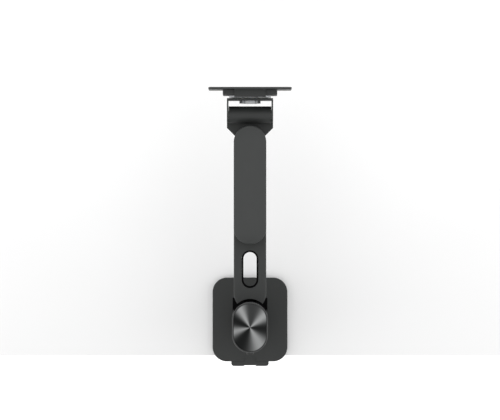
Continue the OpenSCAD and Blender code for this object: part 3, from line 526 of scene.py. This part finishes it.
def softened(node, name, radius, finish=None, steps=2):
    """A frame node's own shape with its sharp edges rounded, as a tool or a tumbler leaves them."""
    shape = bmesh.new()
    shape.from_mesh(NODES[node].data)
    bmesh.ops.remove_doubles(shape, verts=shape.verts, dist=2e-6)
    bmesh.ops.dissolve_degenerate(shape, dist=1e-6, edges=shape.edges)
    bmesh.ops.dissolve_limit(
        shape, angle_limit=math.radians(0.6), use_dissolve_boundaries=False,
        verts=shape.verts, edges=shape.edges)
    edges = [
        edge for edge in shape.edges
        if len(edge.link_faces) == 2 and edge.calc_face_angle(0) > math.radians(SHARP_ANGLE)
    ]
    bmesh.ops.bevel(
        shape, geom=edges, offset=radius, offset_type="OFFSET", segments=steps, profile=0.5,
        affect="EDGES", clamp_overlap=True, material=-1)
    bmesh.ops.remove_doubles(shape, verts=shape.verts, dist=1e-7)
    piece = place(shape, name, node, finish)
    weighted = piece.modifiers.new("even shading", "WEIGHTED_NORMAL")
    weighted.keep_sharp = True


def quarter(radius, top, edge, steps):
    """(radius, height) points of a quarter-round top edge, from the side to the top."""
    turns = [math.pi / 2 * step / steps for step in range(steps + 1)]
    return [(radius - edge + edge * math.cos(t), top - edge + edge * math.sin(t)) for t in turns]


def stadium_loop(shape, radius, middle, span, height):
    """The edges of a level outline with straight sides and round ends, span apart along Y."""
    made = bmesh.ops.create_circle(
        shape, cap_ends=False, radius=radius, segments=STADIUM_SEGMENTS)["verts"]
    half_step = Matrix.Rotation(math.pi / STADIUM_SEGMENTS, 3, "Z")
    bmesh.ops.rotate(shape, verts=made, cent=(0, 0, 0), matrix=half_step)
    bmesh.ops.translate(shape, verts=[v for v in made if v.co.y > 0], vec=(0, span / 2, 0))
    bmesh.ops.translate(shape, verts=[v for v in made if v.co.y < 0], vec=(0, -span / 2, 0))
    bmesh.ops.translate(shape, verts=made, vec=(middle[0], middle[1], height))
    return list({edge for vert in made for edge in vert.link_edges})


def carry_outline(shape, edges, middle, span, growth, rise):
    """Extrudes an outline's edges to a wider or narrower outline at another height."""
    made = bmesh.ops.extrude_edge_only(shape, edges=edges)["geom"]
    verts = [item for item in made if isinstance(item, bmesh.types.BMVert)]
    centre = Vector((middle[0], middle[1], 0))
    for side in (1, -1):
        half = [vert for vert in verts if (vert.co.y - middle[1]) * side > 0]
        pull = Vector((0, side * span / 2, 0))
        bmesh.ops.translate(shape, verts=half, vec=-centre - pull)
        bmesh.ops.scale(shape, verts=half, vec=(growth, growth, 1))
        bmesh.ops.translate(shape, verts=half, vec=centre + pull + Vector((0, 0, rise)))
    return [item for item in made if isinstance(item, bmesh.types.BMEdge)]


def lofted_stadium(shape, section, middle, span):
    """Draws a stadium outline through (radius, height) points and closes both ends of its sweep."""
    radius, height = section[0]
    first = edges = stadium_loop(shape, radius, middle, span, height)
    for next_radius, next_height in section[1:]:
        edges = carry_outline(shape, edges, middle, span, next_radius / radius, next_height - height)
        radius, height = next_radius, next_height
    bmesh.ops.contextual_create(shape, geom=first)
    bmesh.ops.contextual_create(shape, geom=edges)
    bmesh.ops.recalc_face_normals(shape, faces=shape.faces)


def turned(shape, section, middle, axis="Z", segments=64):
    """Spins a closed (radius, height) section round an upright or sideways axis through a place."""
    verts = [shape.verts.new((radius, 0, height)) for radius, height in section]
    pairs = zip(verts, verts[1:] + verts[:1])
    edges = [shape.edges.new(pair) for pair in pairs if not all(abs(v.co.x) < 1e-7 for v in pair)]
    before = set(shape.verts) - set(verts)
    bmesh.ops.spin(
        shape, geom=verts + edges, cent=(0, 0, 0), axis=(0, 0, 1), angle=FULL_TURN,
        steps=segments, use_merge=True, use_duplicate=False)
    made = [v for v in shape.verts if v not in before]
    bmesh.ops.remove_doubles(shape, verts=made, dist=1e-7)
    made = [v for v in shape.verts if v not in before]
    if axis == "X":
        bmesh.ops.rotate(shape, verts=made, cent=(0, 0, 0), matrix=Matrix.Rotation(math.pi / 2, 3, "Y"))
    bmesh.ops.translate(shape, verts=made, vec=middle)
    bmesh.ops.recalc_face_normals(shape, faces=shape.faces)


class ArmOperator(bpy.types.Operator):
    """Base of this script's operators."""

    bl_options = {"REGISTER", "UNDO"}


class ARM_OT_base(ArmOperator):
    """Builds the base plate, its rubber sheet and the post that the column turns on"""

    bl_idname = "arm.base"
    bl_label = "Base"

    def execute(self, context):
        edges = settings("edges")
        softened("base_plate", "base_plate_coated", edges.arm, steps=3)
        softened("base_pad", "rubber_sheet", edges.sheet)
        softened("pivot_post", "post_ground", edges.fastener)
        softened("stop_washer", "stop_washer_stamped", edges.fastener)
        softened("swivel_bolt", "swivel_bolt_plated", edges.fastener)
        softened("post_screws", "post_screws_plated", edges.fastener)
        softened("thrust_washer", "thrust_washer_turned", edges.fastener)
        return {"FINISHED"}


class ARM_OT_clamp(ArmOperator):
    """Builds the desk clamp: spine, jaw, threaded screw, knob and pressure plate"""

    bl_idname = "arm.clamp"
    bl_label = "Desk clamp"

    def execute(self, context):
        edges = settings("edges")
        softened("clamp_spine", "clamp_spine_coated", edges.arm)
        softened("clamp_jaw", "clamp_jaw_coated", edges.arm)
        softened("clamp_bolts", "clamp_bolts_plated", edges.fastener)
        softened("screw_nut", "screw_nut_turned", edges.fastener)
        self.screw()
        self.knob()
        self.pressure_foot()
        return {"FINISHED"}

    def screw(self):
        """The screw: a real helical thread between a plain lower end and a collar in the plate."""
        detail = settings("detail")
        low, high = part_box("clamp_screw")
        plate_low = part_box("pressure_plate")[0].z
        middle = Vector(((low.x + high.x) / 2, (low.y + high.y) / 2, 0))
        radius = node_size("screw_nut").x / 2 - NUT_WALL
        root = radius - detail.thread_depth
        pitch = detail.thread_pitch
        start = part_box("clamp_knob")[1].z
        end = plate_low + 0.5 * MM
        turns = math.ceil((end - start) / pitch) + 2
        shape = bmesh.new()
        profile = [(root, 0), (root, 0.22), (radius, 0.44), (radius, 0.62), (root, 0.84), (root, 1)]
        verts = [shape.verts.new((r, 0, start + (share - 1) * pitch)) for r, share in profile]
        strip = [shape.edges.new(pair) for pair in zip(verts, verts[1:])]
        steps = 40
        bmesh.ops.spin(
            shape, geom=verts + strip, cent=(0, 0, 0), axis=(0, 0, 1), dvec=(0, 0, pitch / steps),
            angle=FULL_TURN * turns, steps=steps * turns, use_duplicate=False)
        bmesh.ops.remove_doubles(shape, verts=shape.verts, dist=0.02 * MM)
        for height, keep_above in ((start, True), (end, False)):
            geometry = shape.verts[:] + shape.edges[:] + shape.faces[:]
            bmesh.ops.bisect_plane(
                shape, geom=geometry, plane_co=(0, 0, height), plane_no=(0, 0, 1),
                clear_inner=keep_above, clear_outer=not keep_above)
        open_edges = [edge for edge in shape.edges if len(edge.link_faces) == 1]
        bmesh.ops.holes_fill(shape, edges=open_edges, sides=0)
        bmesh.ops.recalc_face_normals(shape, faces=shape.faces)
        bmesh.ops.translate(shape, verts=shape.verts, vec=middle)
        bevel = 0.4 * MM
        collar = node_size("clamp_screw").x / 2
        collar_low = plate_low + 1.4 * MM
        turned(shape, [
            (0, plate_low), (root, plate_low), (root, collar_low), (collar - bevel, collar_low),
            (collar, collar_low + bevel), (collar, high.z - bevel), (collar - bevel, high.z), (0, high.z),
        ], middle)
        shank_top = start + 0.2 * MM
        turned(shape, [
            (0, low.z), (radius - bevel, low.z), (radius, low.z + bevel), (radius, shank_top),
            (0, shank_top),
        ], middle)
        place(shape, "clamp_screw_threaded", "clamp_screw", "bright_steel")

    def knob(self):
        """The knob: finger lobes round a hub, crowned below, dished round the screw above."""
        low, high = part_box("clamp_knob")
        lobes = settings("detail").knob_lobes
        middle = node_middle("clamp_knob")
        reach = (high.x - low.x) / 2
        tall = high.z - low.z
        bore = node_size("screw_nut").x / 2 - NUT_WALL + 0.1 * MM
        shape = bmesh.new()
        # Shares of the knob's reach and of its height, from the middle of its underside to its top
        rings = [
            (0.30, 0.10), (0.62, 0.0), (0.84, 0.015), (0.95, 0.07), (1.0, 0.17), (1.0, 0.5), (1.0, 0.83),
            (0.95, 0.93), (0.86, 0.985), (0.74, 1.0), (0.60, 0.995), (0.54, 0.93), (0.44, 0.9),
            (0.40, 0.985),
        ]
        loops = []
        for share, height in rings:
            made = bmesh.ops.create_circle(shape, cap_ends=False, radius=1, segments=30 * lobes)["verts"]
            depth = 0.17 * max(0.0, (share - 0.55) / 0.45)
            for vert in made:
                turn = math.atan2(vert.co.y, vert.co.x)
                wave = (0.5 - 0.5 * math.cos(lobes * turn)) ** 1.5
                vert.co = vert.co * (reach * share * (1 - depth * wave))
                vert.co.z = low.z + tall * height
            loops.append(list({edge for vert in made for edge in vert.link_edges}))
        for lower, upper in zip(loops, loops[1:]):
            bmesh.ops.bridge_loops(shape, edges=lower + upper)
        inner = bmesh.ops.create_circle(shape, cap_ends=False, radius=bore, segments=30 * lobes)["verts"]
        bmesh.ops.translate(shape, verts=inner, vec=(0, 0, high.z - 0.3 * MM))
        inner_edges = list({edge for vert in inner for edge in vert.link_edges})
        bmesh.ops.bridge_loops(shape, edges=loops[-1] + inner_edges)
        bmesh.ops.contextual_create(shape, geom=loops[0])
        bmesh.ops.contextual_create(shape, geom=inner_edges)
        bmesh.ops.translate(shape, verts=shape.verts, vec=(middle.x, middle.y, 0))
        bmesh.ops.recalc_face_normals(shape, faces=shape.faces)
        place(shape, "clamp_knob_moulded", "clamp_knob", sharp=50)

    def pressure_foot(self):
        """The pressure plate with a rolled edge, and its rubber pad with gripping rings."""
        softened("pressure_plate", "pressure_plate_pressed", settings("edges").sheet)
        low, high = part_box("pressure_pad")
        middle = node_middle("pressure_pad")
        radius = (high.x - low.x) / 2
        section = [(0, low.z), (radius - 0.5 * MM, low.z), (radius, low.z + 0.5 * MM)]
        section += quarter(radius, high.z, 0.9 * MM, 4)
        ring = radius - 4 * MM
        while ring > 4 * MM:
            section += [
                (ring + 0.9 * MM, high.z), (ring + 0.5 * MM, high.z - 0.8 * MM),
                (ring - 0.5 * MM, high.z - 0.8 * MM), (ring - 0.9 * MM, high.z),
            ]
            ring -= 4 * MM
        section += [(0, high.z)]
        shape = bmesh.new()
        turned(shape, section, Vector((middle.x, middle.y, 0)), segments=72)
        place(shape, "pressure_pad_ringed", "pressure_pad")


class ARM_OT_column(ArmOperator):
    """Builds the column's tube, slotted front panel, foot, guide rods and top block"""

    bl_idname = "arm.column"
    bl_label = "Column"

    def execute(self, context):
        edges = settings("edges")
        softened("column_tube", "column_tube_coated", edges.sheet)
        # The front panel's reflectionless black also paints the deep shade in front of the column
        softened("front_panel", "front_panel_moulded", edges.sheet, "black_matte")
        softened("column_foot", "column_foot_cast", edges.sheet)
        softened("swivel_bush", "swivel_bush_turned", edges.fastener)
        softened("column_screws", "column_screws_coated", edges.fastener, "graphite_paint")
        softened("guide_rods", "guide_rods_ground", edges.fastener)
        softened("top_block", "top_block_cast", edges.sheet)
        return {"FINISHED"}


class ARM_OT_cap(ArmOperator):
    """Builds the column's cap and the spun disc let into it"""

    bl_idname = "arm.cap"
    bl_label = "Cap"

    def execute(self, context):
        self.cap()
        self.disc()
        return {"FINISHED"}

    def cap(self):
        """The cap: a plug and a lid, with a satin bevelled rim round the disc's seat."""
        low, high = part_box("column_cap")
        disc_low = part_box("cap_disc")[0]
        disc = node_size("cap_disc")
        middle = node_middle("column_cap")
        radius = (high.x - low.x) / 2
        span = (high.y - low.y) - (high.x - low.x)
        seat = disc.x / 2 + 0.1 * MM
        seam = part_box("column_tube")[1].z
        plug = node_size("column_foot").x / 2
        inner = plug - 3 * MM
        bevel = 1.0 * MM
        section = [
            (1 * MM, disc_low.z - 3 * MM), (inner, disc_low.z - 3 * MM), (inner, low.z), (plug, low.z),
            (plug, seam - 0.02 * MM), (radius - 0.35 * MM, seam), (radius, seam + 0.35 * MM),
            (radius, high.z - bevel - 0.2 * MM), (radius - 0.1 * MM, high.z - bevel),
            (radius - bevel, high.z - 0.1 * MM), (radius - bevel - 0.2 * MM, high.z),
            (seat + 0.3 * MM, high.z), (seat, high.z - 0.3 * MM), (seat, disc_low.z), (1 * MM, disc_low.z),
        ]
        shape = bmesh.new()
        lofted_stadium(shape, section, (middle.x, middle.y), span)
        piece = place(shape, "column_cap_bevelled", "column_cap")
        piece.data.materials.append(finishes()["rim_aluminium"])
        for face in piece.data.polygons:
            if face.center.z > high.z - bevel - 0.35 * MM and face.center.z > disc_low.z + 0.1 * MM:
                face.material_index = 1

    def disc(self):
        """The spun disc: a bevelled edge round a face that sinks a little towards its middle."""
        low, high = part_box("cap_disc")
        middle = node_middle("cap_disc")
        radius = (high.x - low.x) / 2
        span = (high.y - low.y) - (high.x - low.x)
        dish = settings("detail").disc_dish
        section = [(radius, low.z), (radius, high.z - 0.3 * MM), (radius - 0.3 * MM, high.z)]
        section += [(radius * share, high.z - dish * (1 - share)) for share in (0.8, 0.6, 0.4, 0.2, 0.02)]
        shape = bmesh.new()
        lofted_stadium(shape, section, (middle.x, middle.y), span)
        place(shape, "cap_disc_spun", "cap_disc")


class ARM_OT_lift(ArmOperator):
    """Builds the carriage and the counterbalance spring inside the column"""

    bl_idname = "arm.lift"
    bl_label = "Lift"

    def execute(self, context):
        edges = settings("edges")
        # The carriage's reflectionless black also paints the shade round its neck
        softened("carriage", "carriage_cast", edges.sheet, "black_matte")
        softened("carriage_bushes", "carriage_bushes_turned", edges.fastener)
        softened("spring_drum", "spring_drum_turned", edges.fastener)
        softened("drum_axle", "drum_axle_ground", edges.fastener, "shaft_steel")
        self.coil()
        self.strip()
        return {"FINISHED"}

    def coil(self):
        """The wound turns of the spring, stepped like the edges of its strip."""
        low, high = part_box("spring_coil")
        middle = node_middle("spring_coil")
        outer = (high.z - low.z) / 2
        inner = node_size("spring_drum").z / 2 - 4 * MM
        half = (high.x - low.x) / 2
        turns = 8
        step = (outer - inner) / turns
        section = [(inner, -half)]
        for turn in range(turns):
            near = inner + turn * step
            section += [
                (near + step * 0.2, -half), (near + step * 0.6, -half + 0.25 * MM), (near + step, -half),
            ]
        section += [(outer, half)]
        for turn in reversed(range(turns)):
            near = inner + turn * step
            section += [(near + step * 0.6, half - 0.25 * MM), (near + step * 0.2, half)]
        section += [(inner, half)]
        shape = bmesh.new()
        turned(shape, section, middle, "X")
        place(shape, "spring_coil_wound", "spring_coil")

    def strip(self):
        """The spring's free run: a thin strip, bowed across its width, that lengthens with the lift."""
        low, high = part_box("spring_strip")
        middle = node_middle("spring_strip")
        shape = bmesh.new()
        bmesh.ops.create_grid(shape, x_segments=8, y_segments=60, size=0.5)
        bmesh.ops.scale(shape, verts=shape.verts, vec=(high.x - low.x, high.z - low.z, 1))
        upright = Matrix.Rotation(math.pi / 2, 3, "X")
        bmesh.ops.rotate(shape, verts=shape.verts, cent=(0, 0, 0), matrix=upright)
        half = (high.x - low.x) / 2
        for vert in shape.verts:
            vert.co.y = 0.12 * MM * (vert.co.x / half) ** 2
        bmesh.ops.translate(shape, verts=shape.verts, vec=middle)
        bmesh.ops.solidify(shape, geom=shape.faces[:], thickness=0.2 * MM)
        bmesh.ops.recalc_face_normals(shape, faces=shape.faces)
        piece = place(shape, "spring_strip_bowed", "spring_strip", rides=False)
        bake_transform(piece)


class ARM_OT_lower_arm(ArmOperator):
    """Builds the lower arm with its lined cable slot and the fillers at its heel"""

    bl_idname = "arm.lower_arm"
    bl_label = "Lower arm"

    def execute(self, context):
        edges = settings("edges")
        softened("lower_arm", "lower_arm_coated", edges.arm, steps=3)
        softened("arm_screws", "arm_screws_black", edges.fastener, "black_steel")
        # The rim and cheeks take the reflectionless black, which also paints the shade on the slot's walls and
        # at the arm's heel
        softened("cable_rim", "cable_rim_moulded", edges.sheet, "black_matte", steps=3)
        softened("arm_cheeks", "arm_cheeks_moulded", edges.sheet, "black_matte")
        return {"FINISHED"}


class ARM_OT_pivots(ArmOperator):
    """Builds the pins, bushes, washers, springs, nuts and caps of the elbow and head pivots"""

    bl_idname = "arm.pivots"
    bl_label = "Pivots"

    def execute(self, context):
        edge = settings("edges").fastener
        for pivot in ("elbow", "head"):
            softened(pivot + "_pin", pivot + "_pin_ground", edge)
            softened(pivot + "_washer", pivot + "_washer_turned", edge)
            softened(pivot + "_bush", pivot + "_bush_turned", edge)
            softened(pivot + "_springs", pivot + "_springs_tempered", edge / 2)
            softened(pivot + "_nut", pivot + "_nut_plated", edge)
            self.cap(pivot)
        return {"FINISHED"}

    def cap(self, pivot):
        """A press-in cap: a crowned face with a fine groove near its edge."""
        low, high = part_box(pivot + "_cap")
        middle = node_middle(pivot + "_cap")
        radius = (high.x - low.x) / 2
        section = [
            (0, low.z), (radius * 0.5, low.z + 0.05 * MM), (radius - 3 * MM, low.z + 0.15 * MM),
            (radius - 2.7 * MM, low.z + 0.6 * MM), (radius - 2.1 * MM, low.z + 0.6 * MM),
            (radius - 1.8 * MM, low.z + 0.2 * MM), (radius - 0.4 * MM, low.z + 0.3 * MM),
            (radius, low.z + 0.7 * MM), (radius, high.z), (0, high.z),
        ]
        shape = bmesh.new()
        turned(shape, section, Vector((middle.x, middle.y, 0)), segments=72)
        place(shape, pivot + "_cap_moulded", pivot + "_cap")


class ARM_OT_upper_arm(ArmOperator):
    """Builds the upper arm's frame, its crowned cover and the strip under its cable channel"""

    bl_idname = "arm.upper_arm"
    bl_label = "Upper arm"

    def execute(self, context):
        edges = settings("edges")
        softened("upper_arm", "upper_arm_coated", edges.arm, steps=3)
        self.cover()
        softened("cable_cover", "cable_cover_moulded", edges.sheet)
        return {"FINISHED"}

    def cover(self):
        """The cover: a shell whose top edge rolls over into a faint crown, bevelled at its seam."""
        detail = settings("detail")
        low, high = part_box("upper_cover")
        middle = node_middle("upper_cover")
        radius = (high.x - low.x) / 2
        span = (high.y - low.y) - (high.x - low.x)
        wall = 2.4 * MM
        edge = detail.cover_edge
        shoulder = high.z - detail.cover_crown
        flat = radius - edge
        section = [(flat * 0.1, shoulder - wall + 1 * MM), (radius - wall - 4 * MM, shoulder - wall)]
        section += [(radius - wall, shoulder - wall - 4 * MM), (radius - wall, low.z)]
        section += [(radius - 0.5 * MM, low.z), (radius, low.z + 0.5 * MM)]
        section += quarter(radius, shoulder, edge, 6)
        for step in range(9, 0, -1):
            share = step / 10
            section.append((flat * share, high.z - detail.cover_crown * share ** 2))
        shape = bmesh.new()
        lofted_stadium(shape, section, (middle.x, middle.y), span)
        place(shape, "upper_cover_crowned", "upper_cover", sharp=50)


class ARM_OT_head(ArmOperator):
    """Builds the head bracket with its tilt barrel, and the tilt frame that turns on it"""

    bl_idname = "arm.head"
    bl_label = "Head"

    def execute(self, context):
        edges = settings("edges")
        # The head bracket takes the darker copy of the coat: painted shade, as under the monitor it carries
        softened("head_bracket", "head_bracket_coated", edges.arm, "graphite_paint", steps=3)
        softened("tilt_bushes", "tilt_bushes_turned", edges.fastener)
        softened("tension_screw", "tension_screw_black", edges.fastener, "black_steel")
        softened("tilt_bracket", "tilt_bracket_coated", edges.sheet)
        softened("tilt_shaft", "tilt_shaft_ground", edges.fastener, "shaft_steel")
        return {"FINISHED"}


class ARM_OT_monitor_plate(ArmOperator):
    """Builds the turning hub, the receiver, the monitor plate and the quick release"""

    bl_idname = "arm.monitor_plate"
    bl_label = "Monitor plate"

    def execute(self, context):
        edges = settings("edges")
        softened("turn_hub", "turn_hub_turned", edges.fastener, "hub_steel")
        softened("turn_washer", "turn_washer_turned", edges.fastener)
        softened("turn_nut", "turn_nut_plated", edges.fastener)
        softened("receiver", "receiver_coated", edges.sheet)
        softened("hub_screws", "hub_screws_plated", edges.fastener)
        softened("monitor_plate", "monitor_plate_coated", edges.sheet)
        softened("release_button", "release_button_moulded", edges.sheet)
        return {"FINISHED"}


class ARM_OT_stage(ArmOperator):
    """Builds the desk top, the floor, the lights and the camera"""

    bl_idname = "arm.stage"
    bl_label = "Stage"

    def execute(self, context):
        self.desk()
        self.floor()
        self.lights()
        self.camera()
        return {"FINISHED"}

    def desk(self):
        """A pale desk top as thick as the clamp holds, its rear edge inside the clamp, its colour darkened
        towards the rear edge as painted shadow.
        """
        stage = settings("stage")
        thickness = -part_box("pressure_pad")[1].z
        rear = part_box("clamp_spine")[0].y + SPINE_REACH
        shape = bmesh.new()
        bmesh.ops.create_cube(shape, size=1)
        bmesh.ops.scale(shape, verts=shape.verts, vec=(stage.desk_width, stage.desk_depth, thickness))
        bmesh.ops.translate(shape, verts=shape.verts, vec=(0, rear + stage.desk_depth / 2, -thickness / 2))
        bmesh.ops.bevel(
            shape, geom=shape.edges[:], offset=1.2 * MM, offset_type="OFFSET", segments=3, profile=0.5,
            affect="EDGES", clamp_overlap=True, material=-1)
        mesh = bpy.data.meshes.new("desk")
        shape.to_mesh(mesh)
        shape.free()
        paint = Paint("pale laminate, painted shadow")
        # The desk's colour runs from darker at the rear edge to paler forward: painted shadow round the arm's
        # base
        _, y, _ = paint.split(paint.moved((0, rear, 0)))
        stops = [(0.0, 0.86), (0.6, 0.92), (1.0, 0.97)]
        shade = paint.node("ShaderNodeValToRGB", {"stops": stops}, {"Fac": y / 0.3}, "Color")
        mesh.materials.append(paint.surface(Base_Color=shade, Roughness=0.6, Specular_IOR_Level=0.2))
        desk = bpy.data.objects.new("desk", mesh)
        bpy.context.scene.collection.objects.link(desk)

    def floor(self):
        """A plain white floor far below."""
        stage = settings("stage")
        shape = bmesh.new()
        bmesh.ops.create_grid(shape, x_segments=1, y_segments=1, size=30)
        bmesh.ops.translate(shape, verts=shape.verts, vec=(0, 0, -stage.desk_height))
        mesh = bpy.data.meshes.new("floor")
        shape.to_mesh(mesh)
        shape.free()
        paint = Paint("white floor")
        mesh.materials.append(paint.surface(
            Base_Color=(0.9, 0.9, 0.9, 1), Roughness=0.9,
            Emission_Color=(1, 1, 1, 1), Emission_Strength=0.35))
        floor = bpy.data.objects.new("floor", mesh)
        bpy.context.scene.collection.objects.link(floor)

    def lights(self):
        """A white studio dome, brightest overhead, with two weak side lights."""
        world = bpy.data.worlds.new("studio dome")
        world.use_nodes = True
        tree = world.node_tree
        background = tree.nodes["Background"]
        places = tree.nodes.new("ShaderNodeTexCoord")
        parts = tree.nodes.new("ShaderNodeSeparateXYZ")
        ramp = tree.nodes.new("ShaderNodeMapRange")
        ramp.interpolation_type = "SMOOTHSTEP"
        tree.links.new(places.outputs["Generated"], parts.inputs["Vector"])
        tree.links.new(parts.outputs["Z"], ramp.inputs["Value"])
        tree.links.new(ramp.outputs["Result"], background.inputs["Strength"])
        ramp.inputs["From Min"].default_value = -0.1
        ramp.inputs["To Min"].default_value = 0.45
        ramp.inputs["To Max"].default_value = 1.3
        background.inputs["Color"].default_value = (1, 1, 1, 1)
        bpy.context.scene.world = world
        self.panel("left light", (-2.2, -0.6, 1.0), (0, -75, -15), (0.8, 1.4), 6)
        self.panel("right light", (2.2, -0.2, 1.2), (0, 72, 10), (0.6, 1.4), 4)

    @staticmethod
    def panel(name, location, degrees, size, power):
        """A rectangular light."""
        data = bpy.data.lights.new(name, "AREA")
        data.shape = "RECTANGLE"
        data.size, data.size_y = size
        data.energy = power
        light = bpy.data.objects.new(name, data)
        light.location = location
        light.rotation_euler = [math.radians(angle) for angle in degrees]
        bpy.context.scene.collection.objects.link(light)

    def camera(self):
        """A long lens that looks straight down, with the arm's front towards the top of the view."""
        stage = settings("stage")
        data = bpy.data.cameras.new("camera")
        data.lens = stage.camera_lens
        data.clip_end = 100
        camera = bpy.data.objects.new("camera", data)
        camera.location = (0, stage.camera_forward, stage.camera_height)
        bpy.context.scene.collection.objects.link(camera)
        bpy.context.scene.camera = camera
        bpy.context.scene.view_settings.view_transform = "Standard"


OPERATORS = [
    ARM_OT_stage, ARM_OT_base, ARM_OT_clamp, ARM_OT_column, ARM_OT_cap, ARM_OT_lift, ARM_OT_lower_arm,
    ARM_OT_pivots, ARM_OT_upper_arm, ARM_OT_head, ARM_OT_monitor_plate,
]


class ARM_PT_build(bpy.types.Panel):
    """Lists the steps and the settings."""

    bl_label = "Monitor arm"
    bl_idname = "ARM_PT_build"
    bl_space_type = "VIEW_3D"
    bl_region_type = "UI"
    bl_category = "Monitor arm"

    def draw(self, context):
        for group in SETTINGS:
            box = self.layout.box()
            box.label(text=group.capitalize())
            for prop in SETTINGS[group].__annotations__:
                box.prop(getattr(context.scene, "arm_" + group), prop)
        for step in OPERATORS:
            self.layout.operator(step.bl_idname)


def register():
    for group, cls in SETTINGS.items():
        bpy.utils.register_class(cls)
        setattr(bpy.types.Scene, "arm_" + group, PointerProperty(type=cls))
    for cls in OPERATORS + [ARM_PT_build]:
        bpy.utils.register_class(cls)


def unregister():
    for cls in reversed(OPERATORS + [ARM_PT_build]):
        bpy.utils.unregister_class(cls)
    for group, cls in reversed(SETTINGS.items()):
        delattr(bpy.types.Scene, "arm_" + group)
        bpy.utils.unregister_class(cls)


def main():
    register()
    for step in OPERATORS:
        group, name = step.bl_idname.split(".")
        getattr(getattr(bpy.ops, group), name)()


if __name__ == "__main__":
    main()
